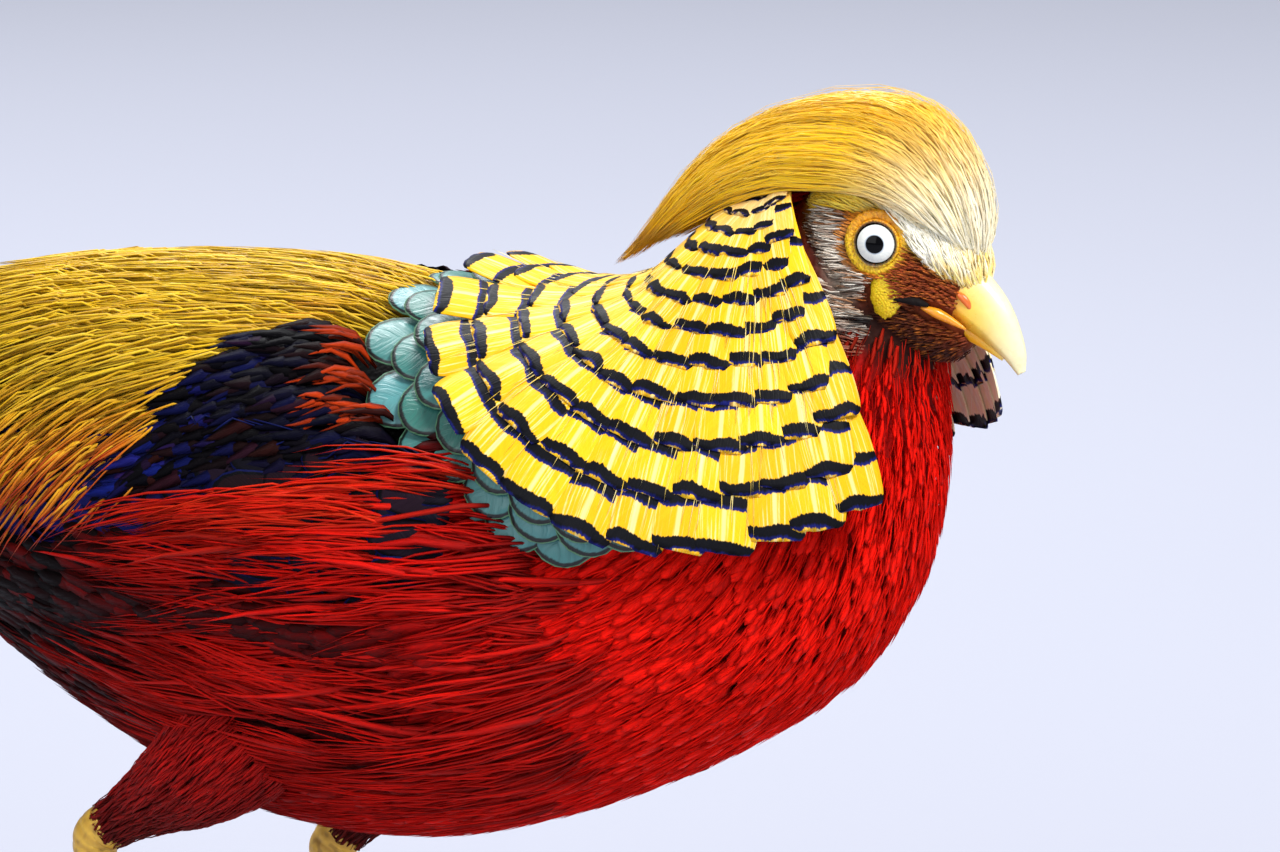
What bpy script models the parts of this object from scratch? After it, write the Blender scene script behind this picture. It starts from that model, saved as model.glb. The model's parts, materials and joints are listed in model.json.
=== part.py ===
"""A life-size golden pheasant cock, standing: closed solids for each part of the body.

Metres, +Z up, the bird faces +X and its right side is towards -Y. Body sizes are given in
millimetres in the tables below, in a frame whose floor is z = 0, and place_on_floor moves the
finished bird so that the middle of its box is over the origin.
"""

import math
import random

import bmesh
import bpy
import numpy as np
from mathutils import Matrix, Vector
from mathutils.bvhtree import BVHTree

MM = 0.001
GAP = 0.3 * MM  # between solids that touch
CUT_BLOCK = 0.6  # side of the block that makes a flat cut
LEFT, RIGHT = 1, -1
UP = Vector((0, 0, 1))
ACROSS = Vector((0, 1, 0))

# Trunk sections, tail root to throat, in mm: back x, back z, breast x, breast z, half width
TRUNK = (
    (-166, 210, -160, 153, 20),
    (-140, 215, -136, 132, 34),
    (-100, 222.5, -103, 112.5, 46.5),
    (-55, 225, -60, 95.5, 56),
    (-20, 221.5, -18, 94.5, 59),
    (4, 218, 20, 105, 58),
    (20, 219, 53, 120, 54.5),
    (32, 223, 81.5, 138.5, 47.5),
    (41, 228, 97.5, 160.5, 40),
    (48, 236, 104, 182, 32),
    (55, 244, 106, 200, 25),
    (63, 251, 106, 215, 19),
    (74, 259, 108, 229, 14),
)
NECK_BASE = 7.0  # the station where the neck starts
NECK_TOP = 12.0
TRUNK_STEPS = 1.6  # rings for each station
TRUNK_SIDES = 22

# The head's own frame stands midway between the eyes; it looks down and a little to the right
HEAD_AT = Vector((98, -1, 242)) * MM
HEAD_PITCH = math.radians(28)
HEAD_YAW = math.radians(-8)
# Head sections, nape to bill, in mm in the head's frame: forward, top, bottom, half width
HEAD = (
    (-25, 4, -8, 3),
    (-22, 11, -14, 9),
    (-15, 16, -19, 13),
    (-6, 18, -21, 14.4),
    (3, 17.5, -21, 14.2),
    (11, 15, -19, 12),
    (17, 11.5, -17, 9.4),
    (22, 7.5, -14, 6.6),
    (25, 4.5, -11, 4.6),
)
HEAD_SIDES = 18
# The head meets the neck on a plane from nape to throat: a point in mm and a normal, head frame
HEAD_CUT_AT = (-8, 0, -9)
HEAD_CUT_NORMAL = (0.6, 0, 0.8)

EYE_RADIUS = 6.4 * MM
EYE_AT = (-3, 10.1, 4.8)  # centre of the eyeball, head frame
EYE_FACETS = (14, 8)
LID_AT = (-3, 14.1, 5.0)
LID_RING = (5.3, 1.15)  # ring and thickness radius of the lids
LAPPET_AT = (-4.5, 12.9, -6.5)  # bare lobe of skin under the eye
LAPPET_SIZE = (6.0, 2.2, 4.4)
GAPE = ((9.5, -3.7), (1.5, -6.4), 0.35)  # line of the mouth behind the bill: two ends, half height
GAPE_DEEP = (8.0, 11.2)  # how far from the middle the line of the mouth starts, at its two ends
NOSTRIL = ((20.0, 4.3, 1.6), (2.1, 1.3, 0.8))  # place and size in the upper bill

# Bill sections in mm, head frame: top forward, top up, edge forward, edge up, half width
UPPER_BILL = (
    (17, 9.6, 9.6, -1.8, 6.2),
    (23, 8.6, 16.5, -2.2, 5.6),
    (29, 6.2, 22.8, -2.7, 4.6),
    (34, 2.6, 28.8, -3.3, 3.4),
    (37.8, -1.2, 34.4, -4.6, 2.1),
    (39.8, -5.0, 38.8, -6.6, 0.7),
)
LOWER_BILL = (
    (9.6, -2.2, 11, -8.4, 5.2),
    (16.5, -2.6, 17.5, -7.8, 4.5),
    (22.8, -3.1, 23.2, -7.1, 3.5),
    (28.4, -3.7, 28.6, -6.5, 2.3),
    (33.2, -5.0, 33.4, -6.3, 0.8),
)
BILL_SIDES = 8

# Legs, in mm, right leg behind and its heel lifted, left leg planted: y is turned for the left
LEGS = {
    "right": dict(
        side=RIGHT, hip=(-50, 32, 128), knee=(-66, 37, 112), ankle=(-100, 34, 90), foot=(-66, 33, 7)
    ),
    "left": dict(
        side=LEFT, hip=(-36, 32, 124), knee=(-42, 37, 106), ankle=(-71, 34, 74), foot=(-33, 33, 7)
    ),
}
# Drumstick: share of the way from hip to ankle, and radius in mm
DRUMSTICK = ((0.0, 18), (0.3, 18.5), (0.55, 15), (0.8, 9.2), (0.93, 6.8), (1.0, 6.0))
# Toes: name, turn from straight ahead in degrees (outwards is positive), length, radius, in mm
TOES = (("inner", -27, 29, 3.0), ("middle", 0, 41, 3.3), ("outer", 27, 31, 3.0), ("hind", 172, 13, 2.5))
# Claws and spur, mm: forward and up from the root, radius
CLAW = ((0, 0, 1.6), (3, 0.5, 1.4), (6, -0.2, 0.9), (8.2, -1.2, 0.25))
SPUR = ((2.6, 0, 2.2), (5.8, 0, 1.6), (9.1, 1, 0.4))
SPUR_SHARE = 0.6  # of the way from ankle to foot
SPUR_INWARDS = 0.45  # how much the spurs turn towards each other, of their way back
LEG_SIDES = (14, 10, 12, 8, 6)  # sides of thigh, shank, palm, toe, and of claw or spur
# Shank: shares of the ankle's bend and of the way down to the foot, and all its radii in mm
ANKLE_BEND = (0.3, 0.6, 0.9)
SHANK_SHARES = (0.2, 0.38, 0.65, 0.82, 0.9)
SHANK_RADII = (5.8, 5.8, 5.7, 5.3, 4.6, 3.9, 3.3, 3.1, 3.7, 4.3)
THIGH_SHORT = 7  # the thigh's feathers end this far above the ankle, in mm
# Palm: radii from the shank down, and its height, in mm
PALM_RADII = (4.3, 4.4, 5.0, 4.6)
PALM_HEIGHT = 4.6
TOE_SHARES = ((0, 1.0), (0.3, 1.05), (0.65, 0.95), (1.0, 0.72))  # along the toe, thickness there
TOE_HEIGHT = 0.82  # of the toe's radius: the rest is the flat that it stands on

# The cape opens like a fan from the nape: its lines are turned from straight back, in degrees
FAN_FROM = Vector((70, 0, 256)) * MM
FAN_ENDS = (-94, 116)  # it opens further on the left, because the head looks to the right
# Hem, in mm, by turn
FAN_REACH = (
    (-94, 75), (-80, 84), (-60, 91), (-40, 97), (-15, 100), (0, 98), (30, 92), (60, 88), (78, 77), (116, 70),
)
FAN_LIFT = (1.0, 12.0)  # how far its outside stands off the trunk, at the nape and the hem, in mm
FAN_SWELL = 0.6  # under 1 the cape stands off soon after the nape
CAPE_TIERS = 5
CAPE_COUNT = (7, 17)  # vanes in the first and the last tier
CAPE_FIRST_TIP = 0.36  # how far the first tier reaches, of the whole
CAPE_FIRST_ROOT = 9  # how far from the nape it grows, in mm
CAPE_VANE = (0.9, 0.4)  # thickness at the root and at the tip, in mm
CAPE_OVER_PITCH = 0.49  # half width of a vane, of the room it has
# Roots of feathers in the surface they grow from: length of the root, its depth, and height outside, in mm
ROOT_RUN = 6
ROOT_SUNK = -3.4
ROOT_OUT = 1.3

# The crest in the head's frame, mm: outer line over the top, and inner line over nape and cape
CREST_OUTER = (
    (21, 8), (16, 18), (6, 28.5), (-9, 34), (-24, 30), (-40, 18), (-53, 1), (-60, -19), (-62.5, -38),
)
CREST_INNER = (
    (15, 12), (9, 15), (0, 17.5), (-11, 16.5), (-22, 10.5), (-33, 3.5), (-42, -6.5), (-50, -19), (-57, -33),
)
CREST_HALF_WIDTH = (5, 10, 13.5, 15.5, 16, 15, 13, 9.5, 4.5)

# Shells of locks: share of the way out, locks, part of the crest's length, root forward and half
# spread of roots in mm
CREST_SHELLS = ((1.0, 9, 1.03, 17, 8), (0.6, 6, 0.97, 6, 9), (0.2, 3, 0.9, -6, 9))
CREST_FAN = math.radians(82)  # how far round from the top the outer locks lie
LOCK_MARKS = (0, 0.07, 0.3, 0.55, 0.8, 1)  # where a lock bends, along its length
LOCK_ROOT_DEEP = 2.6  # under the crown, in mm
LOCK_SHARE = 0.43  # half width of a lock, of the way to its neighbour
LOCK_THICK = (1.5, 0.5)  # at the root and at the tip, in mm

# Folded wing by distance back from the shoulder, mm: x, upper edge z, lower edge z, thickness
WING = (
    (14, 196, 172, 3),
    (4, 208, 156, 7),
    (-20, 212, 150, 9),
    (-55, 213, 152, 8),
    (-90, 209, 158, 6),
    (-120, 203, 166, 4),
    (-150, 196, 174, 2.5),
    (-172, 190, 181, 1.5),
)
WING_OFF = 0.5  # under the wing, in mm
WING_PAD_END = -22  # how far back the solid part of the wing reaches
WING_PAD_THICK = 0.76  # of the whole thickness

# Tiers of the folded wing, each feather rooted in the pad's rear face: x of the first and the last
# tip, height of the first and last root and of the first and last tip as a share from the wing's
# upper edge down, vanes, height over the flank in mm
WING_TIERS = (
    ((-172, -150), (0.5, 0.84), (0.5, 0.9), 3, 1.8),
    ((-134, -122), (0.2, 0.86), (0.2, 0.9), 4, 3.2),
    ((-92, -96), (0.2, 0.86), (0.2, 0.9), 4, 4.6),
    ((-56, -62), (0.2, 0.84), (0.2, 0.86), 3, 6.0),
)
WING_ROOT_IN = 3  # how far the roots run into the pad
WING_MARKS = 28  # every vane of the wing bends at the same distances from its root, in mm
WING_SETTLE = 0.004  # how much a vane comes down for each mm of its length
WING_VANE_SHARE = 0.95  # of the room that each vane of a tier has
WING_VANE = (0.7, 0.5)  # thickness at the root and at the tip, in mm

# The tail's upper line by distance back, mm: x and z
TAIL_RIDGE = (
    (-166.3, 204),
    (-190, 205),
    (-260, 203),
    (-380, 190),
    (-520, 166),
    (-640, 138),
    (-740, 110),
    (-790, 94),
)
# Tail feathers from the middle pair outwards: length, half width, roll from level in degrees
RECTRICES = ((624, 18, 32), (550, 16, 42), (430, 14.5, 52), (310, 13.5, 61), (205, 12, 70))
RECTRIX_STEP = (1.0, 1.9)  # each pair lies this much further out and lower than the last, in mm
TAIL_ROOT_X = -166.3
# The tail's root, mm: x, middle z, half width, half height
TAIL_STUMP = ((-166.3, 181, 14, 25), (-176, 185, 13.5, 20.5), (-190, 190, 10, 14))

# Upper coverts at each side of the tail's base: length, height below the ridge, lift from the tail
TAIL_COVERTS = ((160, 5, 5.5), (190, 12, 5.5), (150, 19, 5.5), (105, 26, 5.5))

# Rows of feathers on the torso: x of the roots, angle from the top of the first and last one, count,
# length, half width, lift at the tip, and turn outwards of the last one in degrees
BACK_ROWS = (
    (0, 8, 33, 2, 50, 7.6, 5.4, 8),
    (-32, 16, 37, 2, 54, 7.6, 6.0, 14),
    (-66, 7, 42, 3, 54, 7.4, 6.2, 20),
    (-98, 16, 44, 3, 52, 6.8, 5.6, 18),
    (-130, 8, 56, 3, 44, 6.0, 4.6, 10),
)
WING_CLEAR = 0.55  # how much more the lowest ones of a row stand off, over the wing
BODY_VANE = (1.0, 0.5)  # thickness at the root and at the tip, in mm

# Rows of the long flank feathers: x and z of the first and last root, count, length, lift at the
# tip, heading down in degrees
FLANK_ROWS = (
    ((34, 140), (-24, 142), 4, 56, 5.2, 20),
    ((-46, 140), (-82, 143), 3, 54, 5.6, 12),
    ((-100, 134), (-128, 147), 2, 46, 4.8, 6),
)
FLANK_HALF_WIDTH = 5.6

# Each kind of node: the start of its name, colour, roughness
FINISHES = (
    ("torso", (0.55, 0.05, 0.02), 0.7),
    ("neck", (0.85, 0.50, 0.04), 0.6),
    ("head", (0.85, 0.55, 0.08), 0.55),
    ("wing", (0.05, 0.08, 0.22), 0.5),
    ("tail", (0.35, 0.20, 0.09), 0.6),
    ("bill", (0.80, 0.68, 0.38), 0.4),
    ("eye", (0.90, 0.86, 0.68), 0.12),
    ("thigh", (0.22, 0.04, 0.03), 0.75),
    ("shank", (0.72, 0.52, 0.20), 0.5),
    ("foot", (0.70, 0.50, 0.20), 0.5),
    ("claw", (0.30, 0.22, 0.15), 0.4),
    ("spur", (0.45, 0.36, 0.22), 0.4),
)


def smooth_rows(rows, counts):
    """A table's rows with more between them, on a smooth curve through the given ones."""
    rows = np.array(rows, float)
    found = []
    for place in np.linspace(0, len(rows) - 1, counts):
        i = min(int(place), len(rows) - 2)
        t = place - i
        a, b, c, d = (rows[min(max(k, 0), len(rows) - 1)] for k in (i - 1, i, i + 1, i + 2))
        square = 2 * a - 5 * b + 4 * c - d
        found.append(0.5 * (2 * b + (c - a) * t + square * t**2 + (3 * b - a - 3 * c + d) * t**3))
    return found


def mix(first, last, share):
    """A value on the way from the first to the last."""
    return first + (last - first) * share


def row_at(rows, place):
    """A table's row at a place between its rows."""
    i = min(int(place), len(rows) - 2)
    return np.array(rows[i], float) * (1 - place + i) + np.array(rows[i + 1], float) * (place - i)


def mesh_object(name, bm):
    """An object of its own from a bmesh, with triangles only."""
    bmesh.ops.triangulate(bm, faces=bm.faces)
    mesh = bpy.data.meshes.new(name)
    bm.to_mesh(mesh)
    bm.free()
    found = bpy.data.objects.new(name, mesh)
    bpy.context.scene.collection.objects.link(found)
    return found


def loft(name, rings):
    """A closed skin through rings of the same number of points, with flat ends."""
    bm = bmesh.new()
    rows = [[bm.verts.new(p) for p in ring] for ring in rings]
    sides = len(rings[0])
    for lower, upper in zip(rows, rows[1:]):
        for i in range(sides):
            j = (i + 1) % sides
            bm.faces.new((lower[i], lower[j], upper[j]))
            bm.faces.new((lower[i], upper[j], upper[i]))
    bm.faces.new(rows[0][::-1])
    bm.faces.new(rows[-1])
    bmesh.ops.recalc_face_normals(bm, faces=bm.faces)
    return mesh_object(name, bm)


def oval(top, bottom, half_width, sides, grow=0.0, across=ACROSS, keel=0.0):
    """A ring through a top and a bottom point, narrower below where keel is set."""
    middle = (top + bottom) / 2
    rise = top - middle
    tall = rise.length + grow
    rise.normalize()
    ring = []
    for i in range(sides):
        turn = 2 * math.pi * i / sides
        wide = (half_width + grow) * (1 + keel * math.cos(turn))
        ring.append(middle + rise * (tall * math.cos(turn)) + across * (wide * math.sin(turn)))
    return ring


def trunk_rings(first, last, sides, steps, grow=0.0):
    """Rings of the trunk between two stations of its table."""
    count = max(2, int(round((last - first) * steps)) + 1)
    every = smooth_rows(TRUNK, (len(TRUNK) - 1) * 20 + 1)
    rings = []
    for place in np.linspace(first, last, count):
        row = every[int(round(place * 20))]
        top = Vector((row[0], 0, row[1])) * MM
        bottom = Vector((row[2], 0, row[3])) * MM
        rings.append(oval(top, bottom, row[4] * MM, sides, grow, keel=0.05))
    return rings


def head_matrix():
    """From the head's frame to the bird's."""
    return (
        Matrix.Translation(HEAD_AT)
        @ Matrix.Rotation(HEAD_YAW, 4, "Z")
        @ Matrix.Rotation(HEAD_PITCH, 4, "Y")
    )


def in_head(forward, out, up):
    """A point given in mm in the head's frame."""
    return head_matrix() @ (Vector((forward, out, up)) * MM)


def head_rings(sides, steps, grow=0.0):
    """Rings of the head, nape to bill."""
    across = head_matrix().to_3x3() @ ACROSS
    rings = []
    for forward, top, bottom, wide in smooth_rows(HEAD, round((len(HEAD) - 1) * steps) + 1):
        crown, throat = in_head(forward, 0, top), in_head(forward, 0, bottom)
        rings.append(oval(crown, throat, wide * MM, sides, grow, across, 0.08))
    return rings


def tube(name, points, radii, sides=10, grow=0.0):
    """A round limb through points with a radius at each, its rings square to the way it runs."""
    rings = []
    last = None
    for i, point in enumerate(points):
        ahead = (points[min(i + 1, len(points) - 1)] - points[max(i - 1, 0)]).normalized()
        side = ahead.cross(UP)
        side = side.normalized() if side.length > 0.05 else last or ACROSS
        if last and side.dot(last) < 0:
            side = -side
        last = side
        rise = side.cross(ahead)
        reach = grow if i == len(points) - 1 else -grow if i == 0 else 0.0
        ring = []
        for k in range(sides):
            turn = 2 * math.pi * (k + 0.5) / sides
            ring.append(
                point + ahead * reach + (side * math.cos(turn) + rise * math.sin(turn)) * (radii[i] + grow)
            )
        rings.append(ring)
    return loft(name, rings)


def ball(name, centre, radius, segments=16, rings=10, scale=(1, 1, 1)):
    """A sphere or an ellipsoid."""
    bm = bmesh.new()
    bmesh.ops.create_uvsphere(bm, u_segments=segments, v_segments=rings, radius=radius)
    bmesh.ops.scale(bm, vec=scale, verts=bm.verts)
    bmesh.ops.translate(bm, vec=centre, verts=bm.verts)
    return mesh_object(name, bm)


def combine(base, others, how):
    """The base joined with the others, or cut by them. The others are used up."""
    others = [o for o in others if o is not None]
    group = bpy.data.collections.new("working")
    for other in others:
        for home in other.users_collection:
            home.objects.unlink(other)
        group.objects.link(other)
    boolean = base.modifiers.new("combine", "BOOLEAN")
    boolean.operation = how
    boolean.operand_type = "COLLECTION"
    boolean.collection = group
    boolean.solver = "MANIFOLD"
    graph = bpy.context.evaluated_depsgraph_get()
    made = bpy.data.meshes.new_from_object(base.evaluated_get(graph))
    base.modifiers.clear()
    base.data = made
    for other in others:
        bpy.data.objects.remove(other)
    bpy.data.collections.remove(group)
    keep_largest(base)
    return base


def keep_largest(obj):
    """Keeps only the closed surface of an object that holds the most, as triangles."""
    bm = bmesh.new()
    bm.from_mesh(obj.data)
    bmesh.ops.triangulate(bm, faces=bm.faces)
    left = set(bm.verts)
    shells = []
    while left:
        shell = {left.pop()}
        edge = set(shell)
        while edge:
            edge = {link.other_vert(v) for v in edge for link in v.link_edges} - shell
            shell |= edge
        left -= shell
        shells.append(shell)
    sizes = []
    for shell in shells:
        faces = {f for v in shell for f in v.link_faces}
        sizes.append(sum(f.verts[0].co.dot(f.verts[1].co.cross(f.verts[2].co)) for f in faces))
    kept = shells[sizes.index(max(sizes))]
    bmesh.ops.delete(bm, geom=[v for v in bm.verts if v not in kept], context="VERTS")
    bm.to_mesh(obj.data)
    bm.free()


def cut_flat(obj, point, normal):
    """Takes away what lies on the normal's side of a plane, with a block whose face is there."""
    bm = bmesh.new()
    bmesh.ops.create_cube(bm, size=CUT_BLOCK)
    turn = normal.to_track_quat("Z", "Y").to_matrix().to_4x4()
    place = Matrix.Translation(point + normal.normalized() * CUT_BLOCK / 2)
    bmesh.ops.transform(bm, matrix=place @ turn, verts=bm.verts)
    return combine(obj, [mesh_object("block", bm)], "DIFFERENCE")


class Skin:
    """The trunk's surface, finer than the solids, for feathers to lie on."""

    SIDES = 72
    STEPS = 12

    def __init__(self):
        rings = trunk_rings(0, len(TRUNK) - 1, self.SIDES, self.STEPS)
        points = [p for ring in rings for p in ring]
        faces = []
        for a in range(0, len(points) - self.SIDES, self.SIDES):
            for i in range(self.SIDES):
                j = (i + 1) % self.SIDES
                faces.append((a + i, a + j, a + self.SIDES + j, a + self.SIDES + i))
        self.tree = BVHTree.FromPolygons(points, faces)
        self.core = [sum(ring, Vector()) / self.SIDES for ring in rings]

    def near(self, point):
        """The nearest place on the surface and its outward normal."""
        place, normal, _, _ = self.tree.find_nearest(point)
        middle = min(self.core, key=lambda c: (c - place).length_squared)
        return place, normal if normal.dot(place - middle) > 0 else -normal

    def walk(self, start, heading, reach, step=2.5 * MM):
        """A straight way over the surface from a start, as places, normals and headings."""
        place, normal = self.near(start)
        way = []
        for _ in range(int(reach / step) + 2):
            heading = (heading - normal * heading.dot(normal)).normalized()
            way.append((place, normal, heading))
            ahead, normal = self.near(place + heading * step)
            heading = ahead - place
            place = ahead
        return Way(way, step)


class Way:
    """A line over the surface, read at any distance along it."""

    def __init__(self, marks, step):
        self.marks = marks
        self.step = step

    def at(self, distance):
        """Place, normal and heading at a distance."""
        share = min(max(distance / self.step, 0), len(self.marks) - 1.001)
        i = int(share)
        low, high = self.marks[i], self.marks[i + 1]
        mixed = [a.lerp(b, share - i) for a, b in zip(low, high)]
        return mixed[0], mixed[1].normalized(), mixed[2].normalized()


def plate(name, stations):
    """A thin closed plate through stations of left, right, normal and thickness.

    Both faces are split into triangles along the same diagonals, so that a bent plate keeps its
    thickness.
    """
    bm = bmesh.new()
    rows = []
    for left, right, normal, thick in stations:
        half = normal * (thick / 2)
        rows.append([bm.verts.new(p) for p in (left + half, right + half, right - half, left - half)])
    for a, b in zip(rows, rows[1:]):
        for i, j in ((0, 1), (1, 2), (3, 0)):
            bm.faces.new((a[i], a[j], b[j]))
            bm.faces.new((a[i], b[j], b[i]))
        bm.faces.new((a[2], a[3], b[2]))
        bm.faces.new((a[3], b[3], b[2]))
    for row in (rows[0], rows[-1]):
        bm.faces.new((row[0], row[1], row[2]))
        bm.faces.new((row[0], row[2], row[3]))
    bmesh.ops.recalc_face_normals(bm, faces=bm.faces)
    return mesh_object(name, bm)


def sheet(name, tops, bottoms):
    """A closed sheet between two grids of points with the same rows."""
    bm = bmesh.new()
    grids = [[[bm.verts.new(p) for p in row] for row in grid] for grid in (tops, bottoms)]
    for grid in grids:
        for a, b in zip(grid, grid[1:]):
            for i in range(len(a) - 1):
                bm.faces.new((a[i], a[i + 1], b[i + 1]))
                bm.faces.new((a[i], b[i + 1], b[i]))
    rims = []
    for grid in grids:
        right = [row[-1] for row in grid[1:-1]]
        left = [row[0] for row in grid[-2:0:-1]]
        rims.append(grid[0] + right + grid[-1][::-1] + left)
    for i in range(len(rims[0])):
        j = (i + 1) % len(rims[0])
        bm.faces.new((rims[0][i], rims[0][j], rims[1][j]))
        bm.faces.new((rims[0][i], rims[1][j], rims[1][i]))
    bmesh.ops.recalc_face_normals(bm, faces=bm.faces)
    return mesh_object(name, bm)


def fan_reach(turn):
    """Length of the cape along a line of the fan, in mm."""
    turns, reaches = zip(*FAN_REACH)
    return float(np.interp(turn, turns, reaches))


def fan_way(skin, turn):
    """One line of the fan."""
    angle = math.radians(turn)
    return skin.walk(FAN_FROM, Vector((-math.cos(angle), math.sin(angle), 0)), 125 * MM)


def cape_vanes(skin):
    """The cape as tiers of square-tipped vanes, rooted in the neck and lying over the shoulders."""
    made = []
    for tier in range(CAPE_TIERS):
        share = tier / (CAPE_TIERS - 1)
        count = round(mix(*CAPE_COUNT, share))
        pitch = (FAN_ENDS[1] - FAN_ENDS[0]) / count
        for i in range(count):
            turn = FAN_ENDS[0] + (i + 0.5) * pitch
            made.append(cape_vane(skin, turn, pitch * CAPE_OVER_PITCH, share))
    return made


def cape_vane(skin, turn, spread, share):
    """One vane of the cape between two lines of the fan; share is its tier, 0 at the nape."""
    ways = [fan_way(skin, turn + side * spread) for side in (-1, 0, 1)]
    left, middle, right = ways
    reach = fan_reach(turn)
    tip = reach * mix(CAPE_FIRST_TIP, 1, share)
    deepest = min(min(distance_to_base(way) for way in ways) / MM - ROOT_RUN - 3, tip - 26)
    root = mix(CAPE_FIRST_ROOT, deepest, share)
    edge_lift = mix(*FAN_LIFT, (tip / reach) ** FAN_SWELL)
    count = 1 + max(1, round((tip - root - 8) / 22))
    stations = []
    for along, lift in vane_marks(tip - root, edge_lift, count):
        distance = root + along
        place, normal, _ = middle.at(distance * MM)
        a, b = left.at(distance * MM)[0], right.at(distance * MM)[0]
        centre = (a + b) / 2 + normal * (lift * MM + (place - (a + b) / 2).dot(normal))
        part = along / (tip - root)
        shape = min(1, 0.5 + 1.1 * part) * (1 if part < 0.97 else 0.74)
        half = (b - a) / 2 * shape
        stations.append((centre - half, centre + half, normal, mix(*CAPE_VANE, part) * MM))
    return plate("cape_vane", stations)


def vane_marks(length, tip_lift, count, start_lift=ROOT_OUT):
    """Distances along a feather and its lift there: out of the surface, then evenly up to the tip."""
    marks = [(0.0, ROOT_SUNK), (ROOT_RUN, start_lift)]
    ends = length * 0.93
    for i in range(1, count):
        along = mix(ROOT_RUN, ends, i / (count - 1))
        marks.append((along, mix(start_lift, tip_lift, (along - ROOT_RUN) / (length - ROOT_RUN))))
    marks.append((length, tip_lift))
    return marks


def distance_to_base(way):
    """How far a line of the fan runs before it passes from the neck to the torso."""
    point, normal = neck_plane()
    for i, (place, _, _) in enumerate(way.marks):
        if (place - point).dot(normal) < 0:
            return i * way.step
    return len(way.marks) * way.step


def neck_plane():
    """The plane between torso and neck: a point on it and its normal, which points up the neck."""
    row = row_at(TRUNK, NECK_BASE)
    slope = Vector((row[2] - row[0], 0, row[3] - row[1])).normalized()
    return Vector((row[0], 0, row[1])) * MM, Vector((-slope.z, 0, slope.x))


def crest_locks():
    """The crest as shells of flat tapering locks, rooted on the crown and swept over the nape."""
    rough = random.Random(3)
    made = []
    for out, count, reach, forward, spread in CREST_SHELLS:
        pitch = 2 * CREST_FAN / count
        for i in range(count):
            turn = pitch * (i + 0.5) - CREST_FAN
            length = reach * (1.08 - 0.16 * rough.random()) * (1 - 0.1 * abs(math.sin(turn)))
            made.append(crest_lock(turn, pitch * LOCK_SHARE, out, length, forward, spread))
    return made


def crest_place(share, out, turn):
    """A point of the crest and the way outwards there, in the head's frame, in mm."""
    place = share * (len(CREST_OUTER) - 1)
    outer, inner = row_at(CREST_OUTER, place), row_at(CREST_INNER, place)
    wide = row_at([(w,) for w in CREST_HALF_WIDTH], place)[0]
    rise = out * math.cos(turn)
    x, z = inner + (outer - inner) * rise
    away = Vector((outer[0] - inner[0], 0, outer[1] - inner[1])).normalized()
    return Vector((x, wide * out * math.sin(turn), z)), (away * math.cos(turn) + ACROSS * math.sin(turn))


def crest_lock(turn, half_turn, out, length, root_x, spread):
    """One lock of the crest, between two turns round the crest's middle line."""
    matrix = head_matrix()
    first = (24 - root_x) / 110
    stations = []
    for i, part in enumerate(LOCK_MARKS):
        share = first + (length - first) * part
        taper = (0.8 + 0.2 * min(1, part * 3)) * (1 - 0.8 * part**4)
        ends = []
        for edge in (turn - half_turn * taper, turn + half_turn * taper):
            if i == 0:
                back = root_x - 6 * abs(math.sin(turn))
                ends.append(Vector((back, spread * math.sin(edge), crown_height(back) - LOCK_ROOT_DEEP)))
            else:
                ends.append(crest_place(share, out, edge)[0])
        away = crest_place(share, out, turn)[1] if i else Vector((0.8, 0.3 * math.sin(turn), 0.6))
        thick = mix(*LOCK_THICK, part)
        ends = [matrix @ (end * MM) for end in ends]
        stations.append((ends[0], ends[1], matrix.to_3x3() @ away.normalized(), thick * MM))
    return plate("lock", stations)


def crown_height(forward):
    """The top of the skull at a place along it, in mm."""
    rows = np.array(HEAD)
    return float(np.interp(forward, rows[:, 0], rows[:, 1]))


def wing_pad_top(x, share):
    """Height of the wing's pad over the flank, in mm."""
    rows = np.array(WING)[::-1]
    thick = float(np.interp(x, rows[:, 0], rows[:, 3]))
    bulge = math.sin(math.pi * (0.1 + 0.8 * share)) ** 0.5
    return WING_OFF + 0.8 + thick * bulge * WING_PAD_THICK


def wing_place(skin, side, x, share):
    """A place on the flank under the folded wing and the normal there."""
    rows = np.array(WING)[::-1]
    high, low = (float(np.interp(x, rows[:, 0], rows[:, k])) for k in (1, 2))
    return skin.near(Vector((x, side * 80, high + (low - high) * share)) * MM)


def wing_pad(skin, side):
    """The solid front part of a folded wing."""
    tops, bottoms = [], []
    for x in np.linspace(WING[0][0], WING_PAD_END, 6):
        top, bottom = [], []
        for share in np.linspace(0, 1, 6):
            place, normal = wing_place(skin, side, x, share)
            top.append(place + normal * wing_pad_top(x, share) * MM)
            bottom.append(place + normal * WING_OFF * MM)
        tops.append(top)
        bottoms.append(bottom)
    return sheet("wing", tops, bottoms)


def wing_vanes(skin, side):
    """The wing's feathers in tiers, each vane over the next one below it."""
    made = []
    for tip_x, root_share, tip_share, count, lift in WING_TIERS:
        for i in range(count):
            part = i / (count - 1)
            tip, first, last = (mix(a, b, part) for a, b in (tip_x, root_share, tip_share))
            length = WING_PAD_END + WING_ROOT_IN - tip
            inner = [mark for mark in range(WING_MARKS, int(length * 0.86), WING_MARKS)]
            marks = [0, *inner, length * 0.93, length]
            stations = []
            for run in marks:
                along = run / length
                x = WING_PAD_END + WING_ROOT_IN - run
                share = mix(first, last, along)
                spread = mix(root_share[1] - root_share[0], tip_share[1] - tip_share[0], along)
                half = spread / (count - 1) / 2 * WING_VANE_SHARE * (0.45 if along == 1 else 1)
                normal = wing_place(skin, side, x, share)[1]
                rise = normal * (lift - run * WING_SETTLE) * MM
                upper, lower = (wing_place(skin, side, x, share + way * half)[0] for way in (-1, 1))
                thick = mix(*WING_VANE, along) * MM
                stations.append((upper + rise, lower + rise, normal, thick))
            made.append(plate("vane", stations))
    return made


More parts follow.
